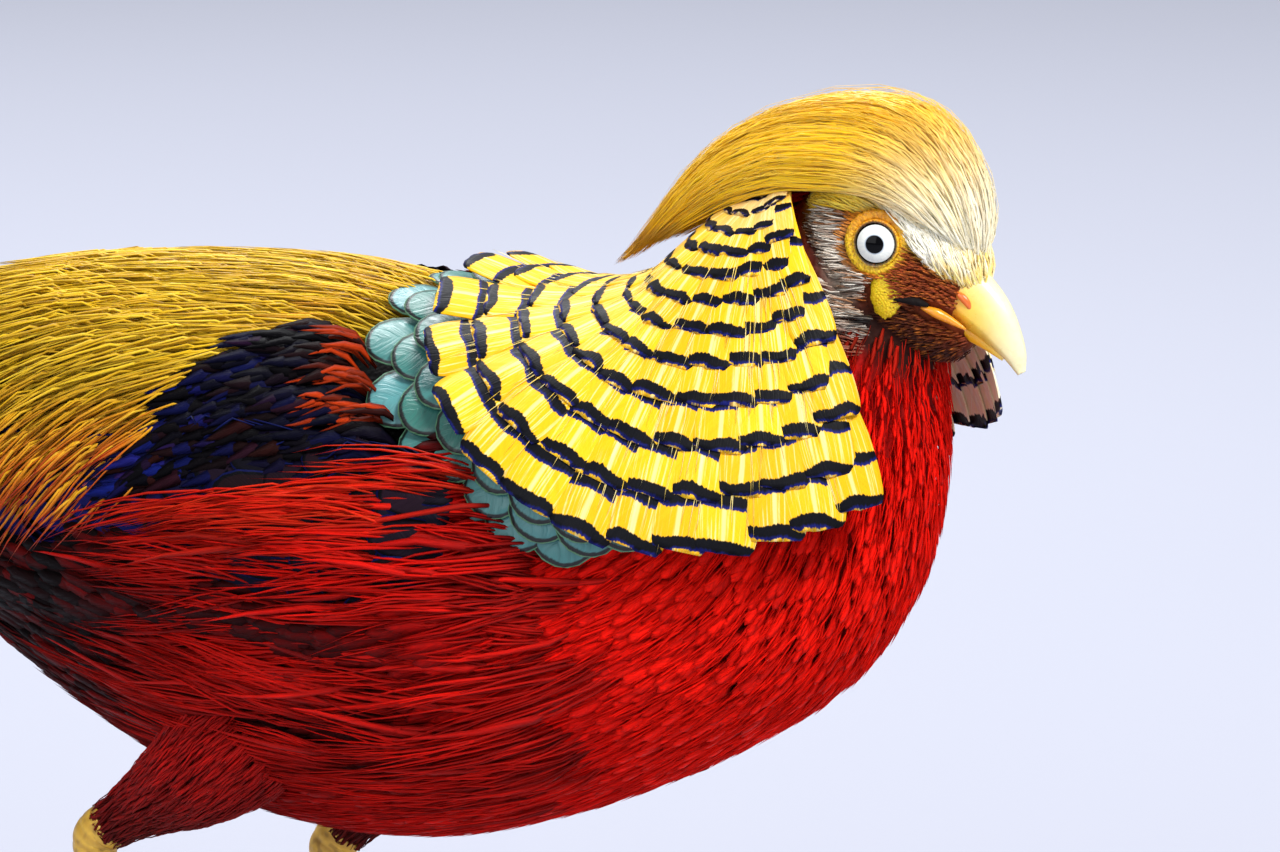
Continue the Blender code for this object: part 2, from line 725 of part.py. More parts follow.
def tail_ridge(x):
    """Height of the tail's ridge at a place along it, in mm."""
    rows = np.array(TAIL_RIDGE)
    curve = np.polyfit(rows[:, 0], rows[:, 1], 3)
    return float(np.polyval(curve, x))


def rectrix(side, number):
    """One tail feather, folded against the ones beside it like the half of a roof."""
    length, half, roll = RECTRICES[number]
    count = 5 + length // 100
    tilt = math.radians(roll)
    out = Vector((0, side * math.cos(tilt), -math.sin(tilt)))
    root_x = TAIL_ROOT_X - 3
    stations = []
    for i in range(count):
        along = i / (count - 1)
        x = root_x - length * along
        low = RECTRIX_STEP[1] * number + 2.5 * (1 - min(1, along * 8))
        inner = Vector((x, side * (0.6 + RECTRIX_STEP[0] * number), tail_ridge(x) - low)) * MM
        spread = min(1, 0.35 + along * 4) * (1 - 0.62 * max(0, along - 0.3) / 0.7)
        spread *= 0.25 if i == count - 1 else 0.72 if i == count - 2 else 1
        slope = Vector((1, 0, (tail_ridge(x + 1) - tail_ridge(x - 1)) / 2)).normalized()
        normal = slope.cross(out).normalized() * -side
        thick = (1.0 - 0.55 * along) * MM
        stations.append((inner, inner + out * 2 * half * spread * MM, normal, thick))
    return plate("rectrix", stations)


def tail_covert(side, number):
    """One of the long narrow feathers at the sides of the tail's base."""
    length, drop, lift = TAIL_COVERTS[number]
    tilt = math.radians(28 + 11 * number)
    across = Vector((0, side * math.cos(tilt), -math.sin(tilt)))
    out = Vector((0, side * math.sin(tilt), math.cos(tilt)))
    stations = []
    for i in range(6):
        along = i / 5
        x = TAIL_ROOT_X - 2 - length * along
        middle = Vector((x, 0, tail_ridge(x))) + Vector((0, side * drop * 0.95, -drop * 0.62))
        rise = -3.5 + (lift + 3.5) * min(1, along * 3.2)
        centre = (middle + out * rise) * MM
        half = 4.2 * (0.6 if i == 0 else 0.25 if i == 5 else 1 - 0.4 * along)
        reach = across * half * MM
        stations.append((centre - reach, centre + reach, out, mix(*BODY_VANE, along) * MM))
    return plate("covert", stations)


def build_tail():
    """The tail: its stump, its feathers and the long coverts beside its root."""
    rings = []
    for x, middle, wide, tall in TAIL_STUMP:
        top, bottom = Vector((x, 0, middle + tall)) * MM, Vector((x, 0, middle - tall)) * MM
        rings.append(oval(top, bottom, wide * MM, 14))
    tail = loft("tail", rings)
    vanes = [rectrix(side, k) for side in (LEFT, RIGHT) for k in range(len(RECTRICES))]
    vanes += [tail_covert(side, k) for side in (LEFT, RIGHT) for k in range(len(TAIL_COVERTS))]
    return combine(tail, vanes, "UNION")


def back_vanes(skin):
    """Mantle, back and rump feathers in rows, long and narrow, over the upper edge of the wings."""
    made = []
    for x, first, last, count, length, half, lift, turn_out in BACK_ROWS:
        for side in (LEFT, RIGHT):
            for i in range(count):
                part = i / (count - 1)
                angle = math.radians(mix(first, last, part))
                start = Vector((x, side * 90 * math.sin(angle), 160 + 90 * math.cos(angle))) * MM
                turn = math.radians(turn_out * part)
                heading = Vector((-math.cos(turn), side * math.sin(turn), 0))
                over = 1 + WING_CLEAR * part**2
                made.append(laid_vane(skin, start, heading, length, half, lift * over))
    return made


def laid_vane(skin, start, heading, length, half, lift):
    """One feather lying on the trunk from a start, all sizes in mm but the start."""
    way = skin.walk(start, heading, length * MM)
    stations = []
    for run, lift in vane_marks(length, lift, 2):
        part = run / length
        place, normal, ahead = way.at(run * MM)
        shape = 0.7 if run == 0 else 0.3 if part == 1 else 1 - 0.35 * part
        across = ahead.cross(normal).normalized() * half * shape * MM
        centre = place + normal * lift * MM
        stations.append((centre - across, centre + across, normal, mix(*BODY_VANE, part) * MM))
    return plate("vane", stations)


def flank_vanes(skin):
    """The long feathers of the flanks and the vent, in rows."""
    made = []
    for first, last, count, length, lift, down in FLANK_ROWS:
        for side in (LEFT, RIGHT):
            for i in range(count):
                part = i / (count - 1)
                x, z = (mix(a, b, part) for a, b in zip(first, last))
                turn = math.radians(down)
                heading = Vector((-math.cos(turn), 0, -math.sin(turn)))
                start = Vector((x, side * 90, z)) * MM
                made.append(laid_vane(skin, start, heading, length, FLANK_HALF_WIDTH, lift))
    return made


def bill_rings(table, sides, grow=0.0):
    """Rings of one half of the bill: a flat edge on one side, an arch on the other."""
    across = head_matrix().to_3x3() @ ACROSS
    rings = []
    for i, (forward, up, edge_forward, edge_up, wide) in enumerate(smooth_rows(table, len(table) + 1)):
        behind = grow / MM * 1.5 if i == 0 else 0
        crown = in_head(forward - behind, 0, up)
        edge = in_head(edge_forward - behind, 0, edge_up)
        rise = (crown - edge).normalized()
        crown = crown + rise * grow
        edge = edge - rise * grow
        tall = (crown - edge).length
        ring = []
        for k in range(sides + 1):
            turn = math.pi * k / sides
            reach = wide * MM + grow
            ring.append(edge + rise * (tall * math.sin(turn) ** 0.8) + across * (reach * math.cos(turn)))
        rings.append(ring)
    return rings


def lower_table():
    """The lower half of the bill, with its edge on top."""
    return [(bottom, bottom_up, top, top_up, wide) for top, top_up, bottom, bottom_up, wide in LOWER_BILL]


def head_ball(name, place, size, side, segments=14, rings=8, turn=0.0):
    """An ellipsoid set in the head, sizes in mm."""
    made = ball(name, Vector(), MM, segments, rings, size)
    place = Matrix.Translation(Vector((place[0], side * place[1], place[2])) * MM)
    made.data.transform(head_matrix() @ place @ Matrix.Rotation(turn, 4, "Y"))
    return made


def lids(side):
    """The ring of the eyelids, tipped so that it follows the side of the head."""
    sides, around = 5, 14
    ring, thick = LID_RING
    middle = Vector((LID_AT[0], side * LID_AT[1], LID_AT[2]))
    bm = bmesh.new()
    rows = []
    for i in range(around):
        turn = 2 * math.pi * i / around
        row = []
        for k in range(sides):
            roll = 2 * math.pi * k / sides
            reach = ring * (1.04 if abs(math.cos(turn)) > 0.7 else 1) + thick * math.cos(roll)
            out = side * thick * 1.25 * math.sin(roll)
            point = middle + Vector((reach * math.cos(turn), out, reach * math.sin(turn)))
            row.append(bm.verts.new(point * MM))
        rows.append(row)
    for i in range(around):
        a, b = rows[i], rows[(i + 1) % around]
        for k in range(sides):
            n = (k + 1) % sides
            bm.faces.new((a[k], a[n], b[n], b[k]))
    bmesh.ops.recalc_face_normals(bm, faces=bm.faces)
    bmesh.ops.transform(bm, matrix=head_matrix(), verts=bm.verts)
    return mesh_object("lids", bm)


def mouth_line(side):
    """A thin cutter for the line of the mouth behind the bill."""
    (front, front_up), (back, back_up), half = GAPE
    matrix = head_matrix()
    stations = []
    for share in (0, 1):
        x, z = mix(front, back, share), mix(front_up, back_up, share)
        ends = [matrix @ (Vector((x, side * y, z)) * MM) for y in (mix(*GAPE_DEEP, share), 18)]
        stations.append((ends[0], ends[1], matrix.to_3x3() @ UP, 2 * half * MM))
    return plate("mouth", stations)


def build_head(skin):
    """Head, bill and eyes."""
    head = loft("head", head_rings(HEAD_SIDES, 1.5))
    turn = head_matrix().to_3x3()
    point = in_head(*HEAD_CUT_AT)
    normal = turn @ Vector(HEAD_CUT_NORMAL).normalized()
    cut_flat(head, point + normal * GAP / 2, -normal)
    neck = loft("neck", trunk_rings(NECK_BASE, NECK_TOP, TRUNK_SIDES, TRUNK_STEPS))
    combine(neck, cape_vanes(skin), "UNION")
    cut_flat(neck, point - normal * GAP / 2, normal)
    eyes, cutters, added = [], [], crest_locks()
    nostrils = []
    for side, word in ((RIGHT, "right"), (LEFT, "left")):
        centre = in_head(EYE_AT[0], side * EYE_AT[1], EYE_AT[2])
        eyes.append(ball("eye_" + word, centre, EYE_RADIUS, *EYE_FACETS))
        cutters.append(ball("socket", centre, EYE_RADIUS + GAP * 1.2, *EYE_FACETS))
        cutters.append(mouth_line(side))
        added.append(lids(side))
        lappet = head_ball("lappet", LAPPET_AT, LAPPET_SIZE, side, 10, 6)
        added.append(cut_flat(lappet, point + normal * GAP / 2, -normal))
        nostrils.append(head_ball("nostril", NOSTRIL[0], NOSTRIL[1], side, 8, 5, math.radians(22)))
    combine(head, added, "UNION")
    cutters.append(loft("bill_bed", bill_rings(UPPER_BILL, BILL_SIDES, GAP)))
    cutters.append(loft("bill_bed", bill_rings(lower_table(), BILL_SIDES, GAP)))
    combine(head, cutters, "DIFFERENCE")
    upper = loft("bill_upper", bill_rings(UPPER_BILL, BILL_SIDES))
    combine(upper, nostrils, "DIFFERENCE")
    lower = loft("bill_lower", bill_rings(lower_table(), BILL_SIDES))
    return [head, neck, upper, lower] + eyes


def leg_points(leg, name):
    """A point of a leg, in metres."""
    x, y, z = leg[name]
    return Vector((x, y * leg["side"], z)) * MM


def build_leg(word, torso_bed):
    """One leg: thigh, shank, spur, foot and claws."""
    leg = LEGS[word]
    hip, knee, ankle, foot = (leg_points(leg, n) for n in ("hip", "knee", "ankle", "foot"))
    meet = ankle - (ankle - knee).normalized() * THIGH_SHORT * MM
    line = [hip.lerp(knee, t * 2) if t < 0.5 else knee.lerp(meet, t * 2 - 1) for t, _ in DRUMSTICK]
    thigh = tube("thigh_" + word, line, [radius * MM for _, radius in DRUMSTICK], LEG_SIDES[0])
    combine(thigh, [torso_bed], "DIFFERENCE")
    last = (line[-1] - line[-2]).normalized()
    radii = [radius * MM for radius in SHANK_RADII]
    line = shank_line(meet, last, ankle, foot)
    shank = tube("shank_" + word, line, radii, LEG_SIDES[1])
    spur = build_spur(word, leg["side"], ankle, foot)
    bed = tube("bed", line, [radius + GAP for radius in radii], LEG_SIDES[1])
    combine(spur, [bed], "DIFFERENCE")
    return [thigh, shank, spur] + build_foot(word, leg["side"], line, foot)


def shank_line(meet, thigh_way, ankle, foot):
    """The shank's middle line: out of the thigh, round the ankle and down to the foot."""
    start = meet + thigh_way * 2 * MM
    end = ankle + (foot - ankle).normalized() * 9 * MM
    line = [meet + thigh_way * GAP, start]
    for share in ANKLE_BEND:
        line.append(start.lerp(ankle, share).lerp(ankle.lerp(end, share), share))
    return line + [ankle.lerp(foot, share) for share in SHANK_SHARES]


def build_spur(word, side, ankle, foot):
    """The spur at the back of the shank, turned a little inwards."""
    down = (foot - ankle).normalized()
    back = Vector((-abs(down.z), 0, -abs(down.x)))
    out = (back - ACROSS * side * SPUR_INWARDS).normalized()
    place = ankle.lerp(foot, SPUR_SHARE)
    line = [place + (out * along + UP * up) * MM for along, up, _ in SPUR]
    return tube("spur_" + word, line, [radius * MM for _, _, radius in SPUR], LEG_SIDES[4])


def build_foot(word, side, shank, foot):
    """The foot with its four toes, flat underneath, and their claws."""
    low = (shank[-1] - shank[-2]).normalized()
    root = shank[-1] + low * GAP
    middle = Vector((foot.x, foot.y, PALM_HEIGHT * MM))
    line = [root, root + low * 2.5 * MM, root.lerp(middle, 0.8), middle - UP * PALM_HEIGHT / 2 * MM]
    palm = tube("foot_" + word, line, [radius * MM for radius in PALM_RADII], LEG_SIDES[2])
    toes, claws = [], []
    for name, turn, length, radius in TOES:
        angle = math.radians(turn) * side
        ahead = Vector((math.cos(angle), math.sin(angle), 0))
        start = Vector((middle.x, middle.y, radius * TOE_HEIGHT * MM))
        line = [start + ahead * length * along * MM for along, _ in TOE_SHARES]
        line[-1] = line[-1] - UP * radius / 10 * MM
        sizes = [radius * thick * MM for _, thick in TOE_SHARES]
        toes.append(tube("toe", line, sizes, LEG_SIDES[3]))
        tip = line[-1] + ahead * GAP * 1.6
        line = [tip + (ahead * along + UP * up) * MM for along, up, _ in CLAW]
        sizes = [thick * MM for _, _, thick in CLAW]
        claws.append(tube("claw_%s_%s" % (name, word), line, sizes, LEG_SIDES[4]))
    combine(palm, toes, "UNION")
    cut_flat(palm, Vector(), -UP)
    return [palm] + claws


def build_trunk(skin):
    """Torso, wings and tail."""
    torso = loft("torso", trunk_rings(0, NECK_BASE, TRUNK_SIDES, TRUNK_STEPS))
    combine(torso, back_vanes(skin) + flank_vanes(skin), "UNION")
    point, normal = neck_plane()
    cut_flat(torso, point - normal * GAP, normal)
    wings = []
    for side, word in ((RIGHT, "right"), (LEFT, "left")):
        wing = wing_pad(skin, side)
        wing.name = "wing_" + word
        wings.append(combine(wing, wing_vanes(skin, side), "UNION"))
    return [torso, build_tail()] + wings


def paint(obj):
    """Gives an object its own material and smooth shading."""
    _, colour, roughness = next(f for f in FINISHES if obj.name.startswith(f[0]))
    material = bpy.data.materials.new(obj.name)
    material.use_nodes = True
    shader = material.node_tree.nodes["Principled BSDF"]
    shader.inputs["Base Color"].default_value = (*colour, 1)
    shader.inputs["Roughness"].default_value = roughness
    shader.inputs["Metallic"].default_value = 0.0
    obj.data.materials.clear()
    obj.data.materials.append(material)
    obj.data.shade_smooth()
    obj.data.set_sharp_from_angle(angle=math.radians(40))


def place_on_floor(parts):
    """Moves the bird so that the middle of its box's underside is the origin."""
    corners = np.array([v.co for part in parts for v in part.data.vertices])
    low, high = corners.min(axis=0), corners.max(axis=0)
    shift = Vector((-(low[0] + high[0]) / 2, -(low[1] + high[1]) / 2, -low[2]))
    for part in parts:
        part.data.transform(Matrix.Translation(shift))


def main():
    """Builds the bird, one object for each part of its body."""
    for old in list(bpy.data.objects):
        bpy.data.objects.remove(old)
    skin = Skin()
    parts = build_trunk(skin)
    parts += build_head(skin)
    for word in LEGS:
        bed = loft("bed", trunk_rings(0, NECK_BASE, TRUNK_SIDES, TRUNK_STEPS, GAP))
        parts += build_leg(word, bed)
    place_on_floor(parts)
    bird = bpy.data.collections.new("golden_pheasant")
    bpy.context.scene.collection.children.link(bird)
    for part in parts:
        paint(part)
        for home in part.users_collection:
            home.objects.unlink(part)
        bird.objects.link(part)


if __name__ == "__main__":
    main()
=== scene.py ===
"""A golden pheasant cock as a still, life-size model: skin, plumage, bare parts and stage."""

import json
import logging
import math
from dataclasses import dataclass, field
from enum import Enum
from typing import Callable, Protocol, Sequence

import bmesh
import bpy
import numpy as np
from mathutils import Matrix, Vector
from mathutils.bvhtree import BVHTree

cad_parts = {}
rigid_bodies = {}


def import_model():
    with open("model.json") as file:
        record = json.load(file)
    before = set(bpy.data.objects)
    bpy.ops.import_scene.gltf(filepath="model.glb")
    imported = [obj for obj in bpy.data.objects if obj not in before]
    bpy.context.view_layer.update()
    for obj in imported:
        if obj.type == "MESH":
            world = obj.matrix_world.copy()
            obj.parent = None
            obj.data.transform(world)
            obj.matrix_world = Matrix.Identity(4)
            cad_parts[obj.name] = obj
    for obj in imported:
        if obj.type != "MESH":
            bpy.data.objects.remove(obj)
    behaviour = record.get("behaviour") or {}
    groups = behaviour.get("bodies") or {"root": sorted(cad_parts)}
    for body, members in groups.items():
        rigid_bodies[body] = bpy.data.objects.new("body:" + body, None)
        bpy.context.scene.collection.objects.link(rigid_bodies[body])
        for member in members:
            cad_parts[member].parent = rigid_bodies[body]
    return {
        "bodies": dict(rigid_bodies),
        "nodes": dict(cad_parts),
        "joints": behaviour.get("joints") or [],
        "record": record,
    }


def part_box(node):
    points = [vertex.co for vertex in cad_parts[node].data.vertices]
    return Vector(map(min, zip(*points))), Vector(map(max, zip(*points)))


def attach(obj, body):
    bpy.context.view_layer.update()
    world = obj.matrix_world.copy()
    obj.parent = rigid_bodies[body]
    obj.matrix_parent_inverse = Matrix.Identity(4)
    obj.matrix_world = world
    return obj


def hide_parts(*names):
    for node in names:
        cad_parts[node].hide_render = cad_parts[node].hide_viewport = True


log = logging.getLogger("golden_pheasant")
Array = np.ndarray
MM = 0.001
UP = np.array((0.0, 0.0, 1.0))
ACROSS = np.array((0.0, 1.0, 0.0))

# The head's own frame stands midway between the eyes, all sizes in mm
HEAD_AT = np.array((98.0, -1.0, 242.0))
HEAD_TURN = np.array(
    Matrix.Rotation(math.radians(-8), 3, "Z") @ Matrix.Rotation(math.radians(28), 3, "Y")
)
EYE_AT = np.array((-3.0, 10.1, 4.8))
EYE_RADIUS = 6.4


class Side(Enum):
    """The two sides of the bird."""

    LEFT = 1
    RIGHT = -1

    @property
    def word(self) -> str:
        """The side's name, as the nodes have it."""
        return self.name.lower()


def in_head(points: Array) -> Array:
    """Points of the head's frame, as forward, left and up, in the bird's frame."""
    return np.asarray(points, float) @ HEAD_TURN.T + HEAD_AT


def from_head(points: Array) -> Array:
    """Points of the bird's frame in the head's frame."""
    places = np.asarray(points, float)
    return ((places.reshape(-1, 3) - HEAD_AT) @ HEAD_TURN).reshape(places.shape)


def from_eye(points: Array) -> Array:
    """How far points of the bird's frame lie from the eye, seen from the head's side."""
    away = from_head(points) - EYE_AT
    return np.hypot(away[..., 0], away[..., 2])


def shift_to_frame() -> Array:
    """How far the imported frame's origin lies from the bird's own, read from the right eye."""
    low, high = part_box("eye_right")
    eye = in_head(EYE_AT * (1, -1, 1))
    return (np.array(low) + np.array(high)) / 2 / MM - eye


def linear(red: float, green: float, blue: float) -> Array:
    """A colour given from 0 to 255 as the shader's linear values."""
    value = np.array((red, green, blue)) / 255
    return np.where(value <= 0.04045, value / 12.92, ((value + 0.055) / 1.055) ** 2.4)


def mix(first: Array, last: Array, share: Array) -> Array:
    """Values on the way from the first to the last."""
    return first + (last - first) * share


def blend(first: Array, last: Array, share: Array) -> Array:
    """Colours on the way from the first to the last, with a share for each."""
    return first + (last - first) * np.asarray(share)[..., None]


def ease(value: Array, low: float, high: float) -> Array:
    """0 under low, 1 over high, and a smooth step between."""
    share = np.clip((np.asarray(value, float) - low) / (high - low), 0, 1)
    return share * share * (3 - 2 * share)


def unit(vectors: Array) -> Array:
    """Vectors made one long."""
    return vectors / np.maximum(np.linalg.norm(vectors, axis=-1, keepdims=True), 1e-9)


def dot(first: Array, last: Array) -> Array:
    """Dot products of two lists of vectors, kept as a column."""
    return (first * last).sum(axis=-1, keepdims=True)


def curve(rows: Sequence[Sequence[float]], places: Array) -> Array:
    """A table's rows at places between them, on a smooth curve.

    Args:
        rows: The table.
        places: Places, in rows from the first.

    Returns:
        A row of values for each place.
    """
    table = np.asarray(rows, float)
    last = len(table) - 1
    places = np.clip(np.asarray(places, float), 0, last)
    i = np.minimum(places.astype(int), last - 1)
    t = (places - i)[..., None]
    a, b, c, d = (table[np.clip(i + k, 0, last)] for k in (-1, 0, 1, 2))
    return 0.5 * (2 * b + (c - a) * t + (2 * a - 5 * b + 4 * c - d) * t**2 + (3 * b - a - 3 * c + d) * t**3)


@dataclass
class Lie:
    """The ways of many feathers over a surface, each at even steps from its root."""

    places: Array
    normals: Array
    headings: Array
    patches: Array

    def read(self, marks: Array) -> tuple[Array, Array, Array]:
        """Places, normals and headings at shares of the ways' length."""
        steps = self.places.shape[1] - 1
        at = np.clip(np.asarray(marks, float), 0, 1) * steps
        i = np.minimum(at.astype(int), steps - 1)
        t = (at - i)[:, None]
        places, normals, headings = (
            k[:, i] * (1 - t) + k[:, i + 1] * t for k in (self.places, self.normals, self.headings)
        )
        return places, unit(normals), unit(headings)

    def some(self, keep: Array) -> "Lie":
        """The ways that are kept."""
        return Lie(self.places[keep], self.normals[keep], self.headings[keep], self.patches[keep])


class Surface:
    """A smooth form given as a grid of rings, on which feathers find their place."""

    def __init__(self, grid: Array) -> None:
        """Builds the search tree of a grid of rings, by sides, by x, y and z."""
        rings, sides, _ = grid.shape
        index = np.arange(rings * sides).reshape(rings, sides)
        ahead = np.roll(index, -1, axis=1)
        faces = np.stack([index[:-1], ahead[:-1], ahead[1:], index[1:]], -1).reshape(-1, 4)
        points = grid.reshape(-1, 3)
        a, b, c, d = (points[faces[:, k]] for k in range(4))
        core = np.repeat(grid.mean(axis=1)[:-1], sides, axis=0)
        outward = (np.cross(c - a, d - b) * ((a + b + c + d) / 4 - core)).sum()
        if outward < 0:
            faces = faces[:, ::-1]
        self.grid = grid
        self.tree = BVHTree.FromPolygons(points.tolist(), faces.tolist())
        self.corners = (a, b, c, d)
        areas = np.linalg.norm(np.cross(c - a, d - b), axis=1) / 2
        self.reached = np.cumsum(areas)

    def near(self, points: Array) -> tuple[Array, Array, Array]:
        """The nearest places on the surface, the normals there and the cells' numbers."""
        find = self.tree.find_nearest
        found = [find(p) for p in points.tolist()]
        places = np.array([f[0] for f in found])
        return places, np.array([f[1] for f in found]), np.array([f[2] for f in found])

    def unwrap(self, cells: Array) -> Array:
        """Where cells lie on the unwrapped surface, from 0 to 1 both ways."""
        rings, sides, _ = self.grid.shape
        return np.stack([(cells // sides + 0.5) / rings, (cells % sides + 0.5) / sides], -1)

    def scatter(self, spacing: float, rough: np.random.Generator) -> tuple[Array, Array]:
        """Places spread evenly over the surface, and the way towards the first ring there.

        Args:
            spacing: Mean distance between neighbours in mm.
            rough: The source of chance.

        Returns:
            Places and headings.
        """
        total = self.reached[-1]
        count = int(total / spacing**2)
        cells = np.searchsorted(self.reached, (np.arange(count) + rough.random(count)) / count * total)
        cells = np.minimum(cells, len(self.reached) - 1)
        a, b, c, d = (k[cells] for k in self.corners)
        u, v = rough.random((2, count, 1))
        places = (a * (1 - u) + b * u) * (1 - v) + (d * (1 - u) + c * u) * v
        return places, unit(a - d + b - c)

    def march(
        self, starts: Array, headings: Array, reach: Array, count: int = 4, bend: Array | None = None
    ) -> Lie:
        """Walks over the surface from many starts at once.

        Args:
            starts: Where the feathers grow.
            headings: The ways they set out on.
            reach: How far each one runs in mm.
            count: Marks on each way.
            bend: What a heading gains for each mm.

        Returns:
            The ways that the feathers lie on.
        """
        place, normal, cells = self.near(starts)
        patches = self.unwrap(cells)
        step = (np.broadcast_to(reach, len(starts)) / (count - 1))[:, None]
        kept = []
        for k in range(count):
            headings = unit(headings - normal * dot(headings, normal))
            kept.append((place, normal, headings))
            if k < count - 1:
                ahead, normal, _ = self.near(place + headings * step)
                headings = unit(ahead - place) + (0 if bend is None else bend * step)
                place = ahead
        places, normals, ways = (np.stack([mark[k] for mark in kept], 1) for k in range(3))
        return Lie(places, normals, ways, patches)


@dataclass
class Form:
    """The bird's bare form: trunk, head and the places that plumage follows."""

    # Trunk, tail root to throat: back x, back z, breast x, breast z, half width
    trunk: tuple = (
        (-166, 210, -160, 153, 20),
        (-140, 215, -136, 132, 34),
        (-100, 222.5, -103, 112.5, 46.5),
        (-55, 225, -60, 95.5, 56),
        (-20, 221.5, -18, 94.5, 59),
        (4, 218, 20, 105, 58),
        (20, 219, 53, 120, 54.5),
        (32, 223, 81.5, 138.5, 47.5),
        (41, 228, 97.5, 160.5, 40),
        (48, 236, 104, 182, 32),
        (55, 244, 106, 200, 25),
        (63, 251, 106, 215, 19),
        (74, 259, 108, 229, 14),
    )
    # Head, nape to bill, in its own frame: forward, top, bottom, half width
    head: tuple = (
        (-25, 4, -8, 3),
        (-22, 11, -14, 9),
        (-15, 16, -19, 13),
        (-6, 18, -21, 14.4),
        (3, 17.5, -21, 14.2),
        (11, 15, -19, 11),
        (17, 11.5, -17, 7.3),
        (22, 7.8, -14, 4.9),
        (25, 5.0, -11, 3.4),
    )
    # The tail's root, over which the rump's plumage runs on
    rump: tuple = ((-235, 208, -232, 190, 9), (-198, 209, -194, 171, 14))
    keel: float = 0.05

    def trunk_grid(self, steps: int, sides: int, grow: float = 0.0, rump: bool = False) -> Array:
        """Rings of the trunk from tail to throat, grown outwards by some mm."""
        table = self.rump + self.trunk if rump else self.trunk
        rows = curve(table, np.linspace(0, len(table) - 1, steps))
        top = np.stack([rows[:, 0], rows[:, 0] * 0, rows[:, 1]], -1)
        bottom = np.stack([rows[:, 2], rows[:, 0] * 0, rows[:, 3]], -1)
        return self.ovals(top, bottom, rows[:, 4], sides, grow, ACROSS, self.keel)

    def head_grid(self, steps: int, sides: int, grow: float = 0.0) -> Array:
        """Rings of the head from nape to bill, grown outwards by some mm."""
        rows = curve(self.head, np.linspace(0, len(self.head) - 1, steps))
        none = rows[:, 0] * 0
        top = in_head(np.stack([rows[:, 0], none, rows[:, 1]], -1))
        bottom = in_head(np.stack([rows[:, 0], none, rows[:, 2]], -1))
        return self.ovals(top, bottom, rows[:, 3], sides, grow, HEAD_TURN @ ACROSS, 0.08)

    def beside(self, side: float, x: Array, z: Array, out: float = 4.0) -> Array:
        """Points a little outside the trunk's side at places along it and heights."""
        back_x, back_z, breast_x, breast_z, half = np.array(self.trunk, float).T
        top, low = np.interp(x, back_x, back_z), np.interp(x, breast_x, breast_z)
        wide = np.interp(x, (back_x + breast_x) / 2, half)
        rise = np.clip((z - (top + low) / 2) / ((top - low) / 2), -0.98, 0.98)
        return np.stack([x, side * (wide * np.sqrt(1 - rise**2) + out), z], -1)

    @staticmethod
    def ovals(
        top: Array, bottom: Array, wide: Array, sides: int, grow: float, across: Array, keel: float
    ) -> Array:
        """Rings through top and bottom points, a little narrower below."""
        middle = (top + bottom) / 2
        tall = np.linalg.norm(top - middle, axis=1)[:, None, None] + grow
        rise = unit(top - middle)[:, None]
        turn = 2 * math.pi * np.arange(sides) / sides
        broad = (wide[:, None] + grow) * (1 + keel * np.cos(turn))
        return (
            middle[:, None] + rise * tall * np.cos(turn)[None, :, None]
            + across * (broad * np.sin(turn))[..., None]
        )


def loft(rings: Array) -> bmesh.types.BMesh:
    """A closed form through rings of points, made by extruding a circle from ring to ring."""
    bm = bmesh.new()
    sides = len(rings[0])
    loop = bmesh.ops.create_circle(bm, segments=sides, radius=1.0)["verts"]
    edges = list(bm.edges)
    for vert, point in zip(loop, rings[0]):
        vert.co = point
    for ring in rings[1:]:
        grown = bmesh.ops.extrude_edge_only(bm, edges=edges)["geom"]
        fresh = {g for g in grown if isinstance(g, bmesh.types.BMVert)}
        loop = [next(v for e in old.link_edges if (v := e.other_vert(old)) in fresh) for old in loop]
        edges = [g for g in grown if isinstance(g, bmesh.types.BMEdge) and all(v in fresh for v in g.verts)]
        for vert, point in zip(loop, ring):
            vert.co = point
    rims = [e for e in bm.edges if e.is_boundary]
    bmesh.ops.holes_fill(bm, edges=rims, sides=0)
    caps = [f for f in bm.faces if len(f.verts) > 4]
    bmesh.ops.poke(bm, faces=caps)
    bmesh.ops.recalc_face_normals(bm, faces=bm.faces)
    return bm


def limb(points: Array, radii: Array, sides: int, steps: int) -> Array:
    """Rings of a round limb that follows points smoothly, with a radius at each."""
    places = np.linspace(0, len(points) - 1, steps)
    line = curve(points, places)
    wide = np.maximum(curve([(r,) for r in radii], places), 0.15)
    ahead = unit(np.gradient(line, axis=0))
    rings, side = [], np.cross(ahead[0], UP)
    side = ACROSS if np.linalg.norm(side) < 0.1 else side
    turn = 2 * math.pi * np.arange(sides) / sides
    for centre, way, radius in zip(line, ahead, wide):
        side = unit(side - way * (side @ way))
        rise = np.cross(side, way)
        rings.append(centre + radius * (np.cos(turn)[:, None] * side + np.sin(turn)[:, None] * rise))
    return np.array(rings)


def joined(grids: Sequence[Array]) -> bmesh.types.BMesh:
    """Lofts several grids of rings into one bmesh."""
    whole = bmesh.new()
    for rings in grids:
        part = bpy.data.meshes.new("part")
        bm = loft(rings)
        bm.to_mesh(part)
        bm.free()
        whole.from_mesh(part)
        bpy.data.meshes.remove(part)
    return whole


def one_surface(grids: Sequence[Array], voxel: float) -> bpy.types.Mesh:
    """One unbroken mesh round closed forms that overlap.

    Args:
        grids: Rings of each form.
        voxel: Size of the remesher's cells in mm.

    Returns:
        The mesh.
    """
    whole = joined(grids)
    mesh = bpy.data.meshes.new("form")
    whole.to_mesh(mesh)
    whole.free()
    form = bpy.data.objects.new("form", mesh)
    bpy.context.scene.collection.objects.link(form)
    remesh = form.modifiers.new("one_skin", "REMESH")
    remesh.mode = "VOXEL"
    remesh.voxel_size = voxel
    graph = bpy.context.evaluated_depsgraph_get()
    made = bpy.data.meshes.new_from_object(form.evaluated_get(graph))
    bpy.data.objects.remove(form)
    return made


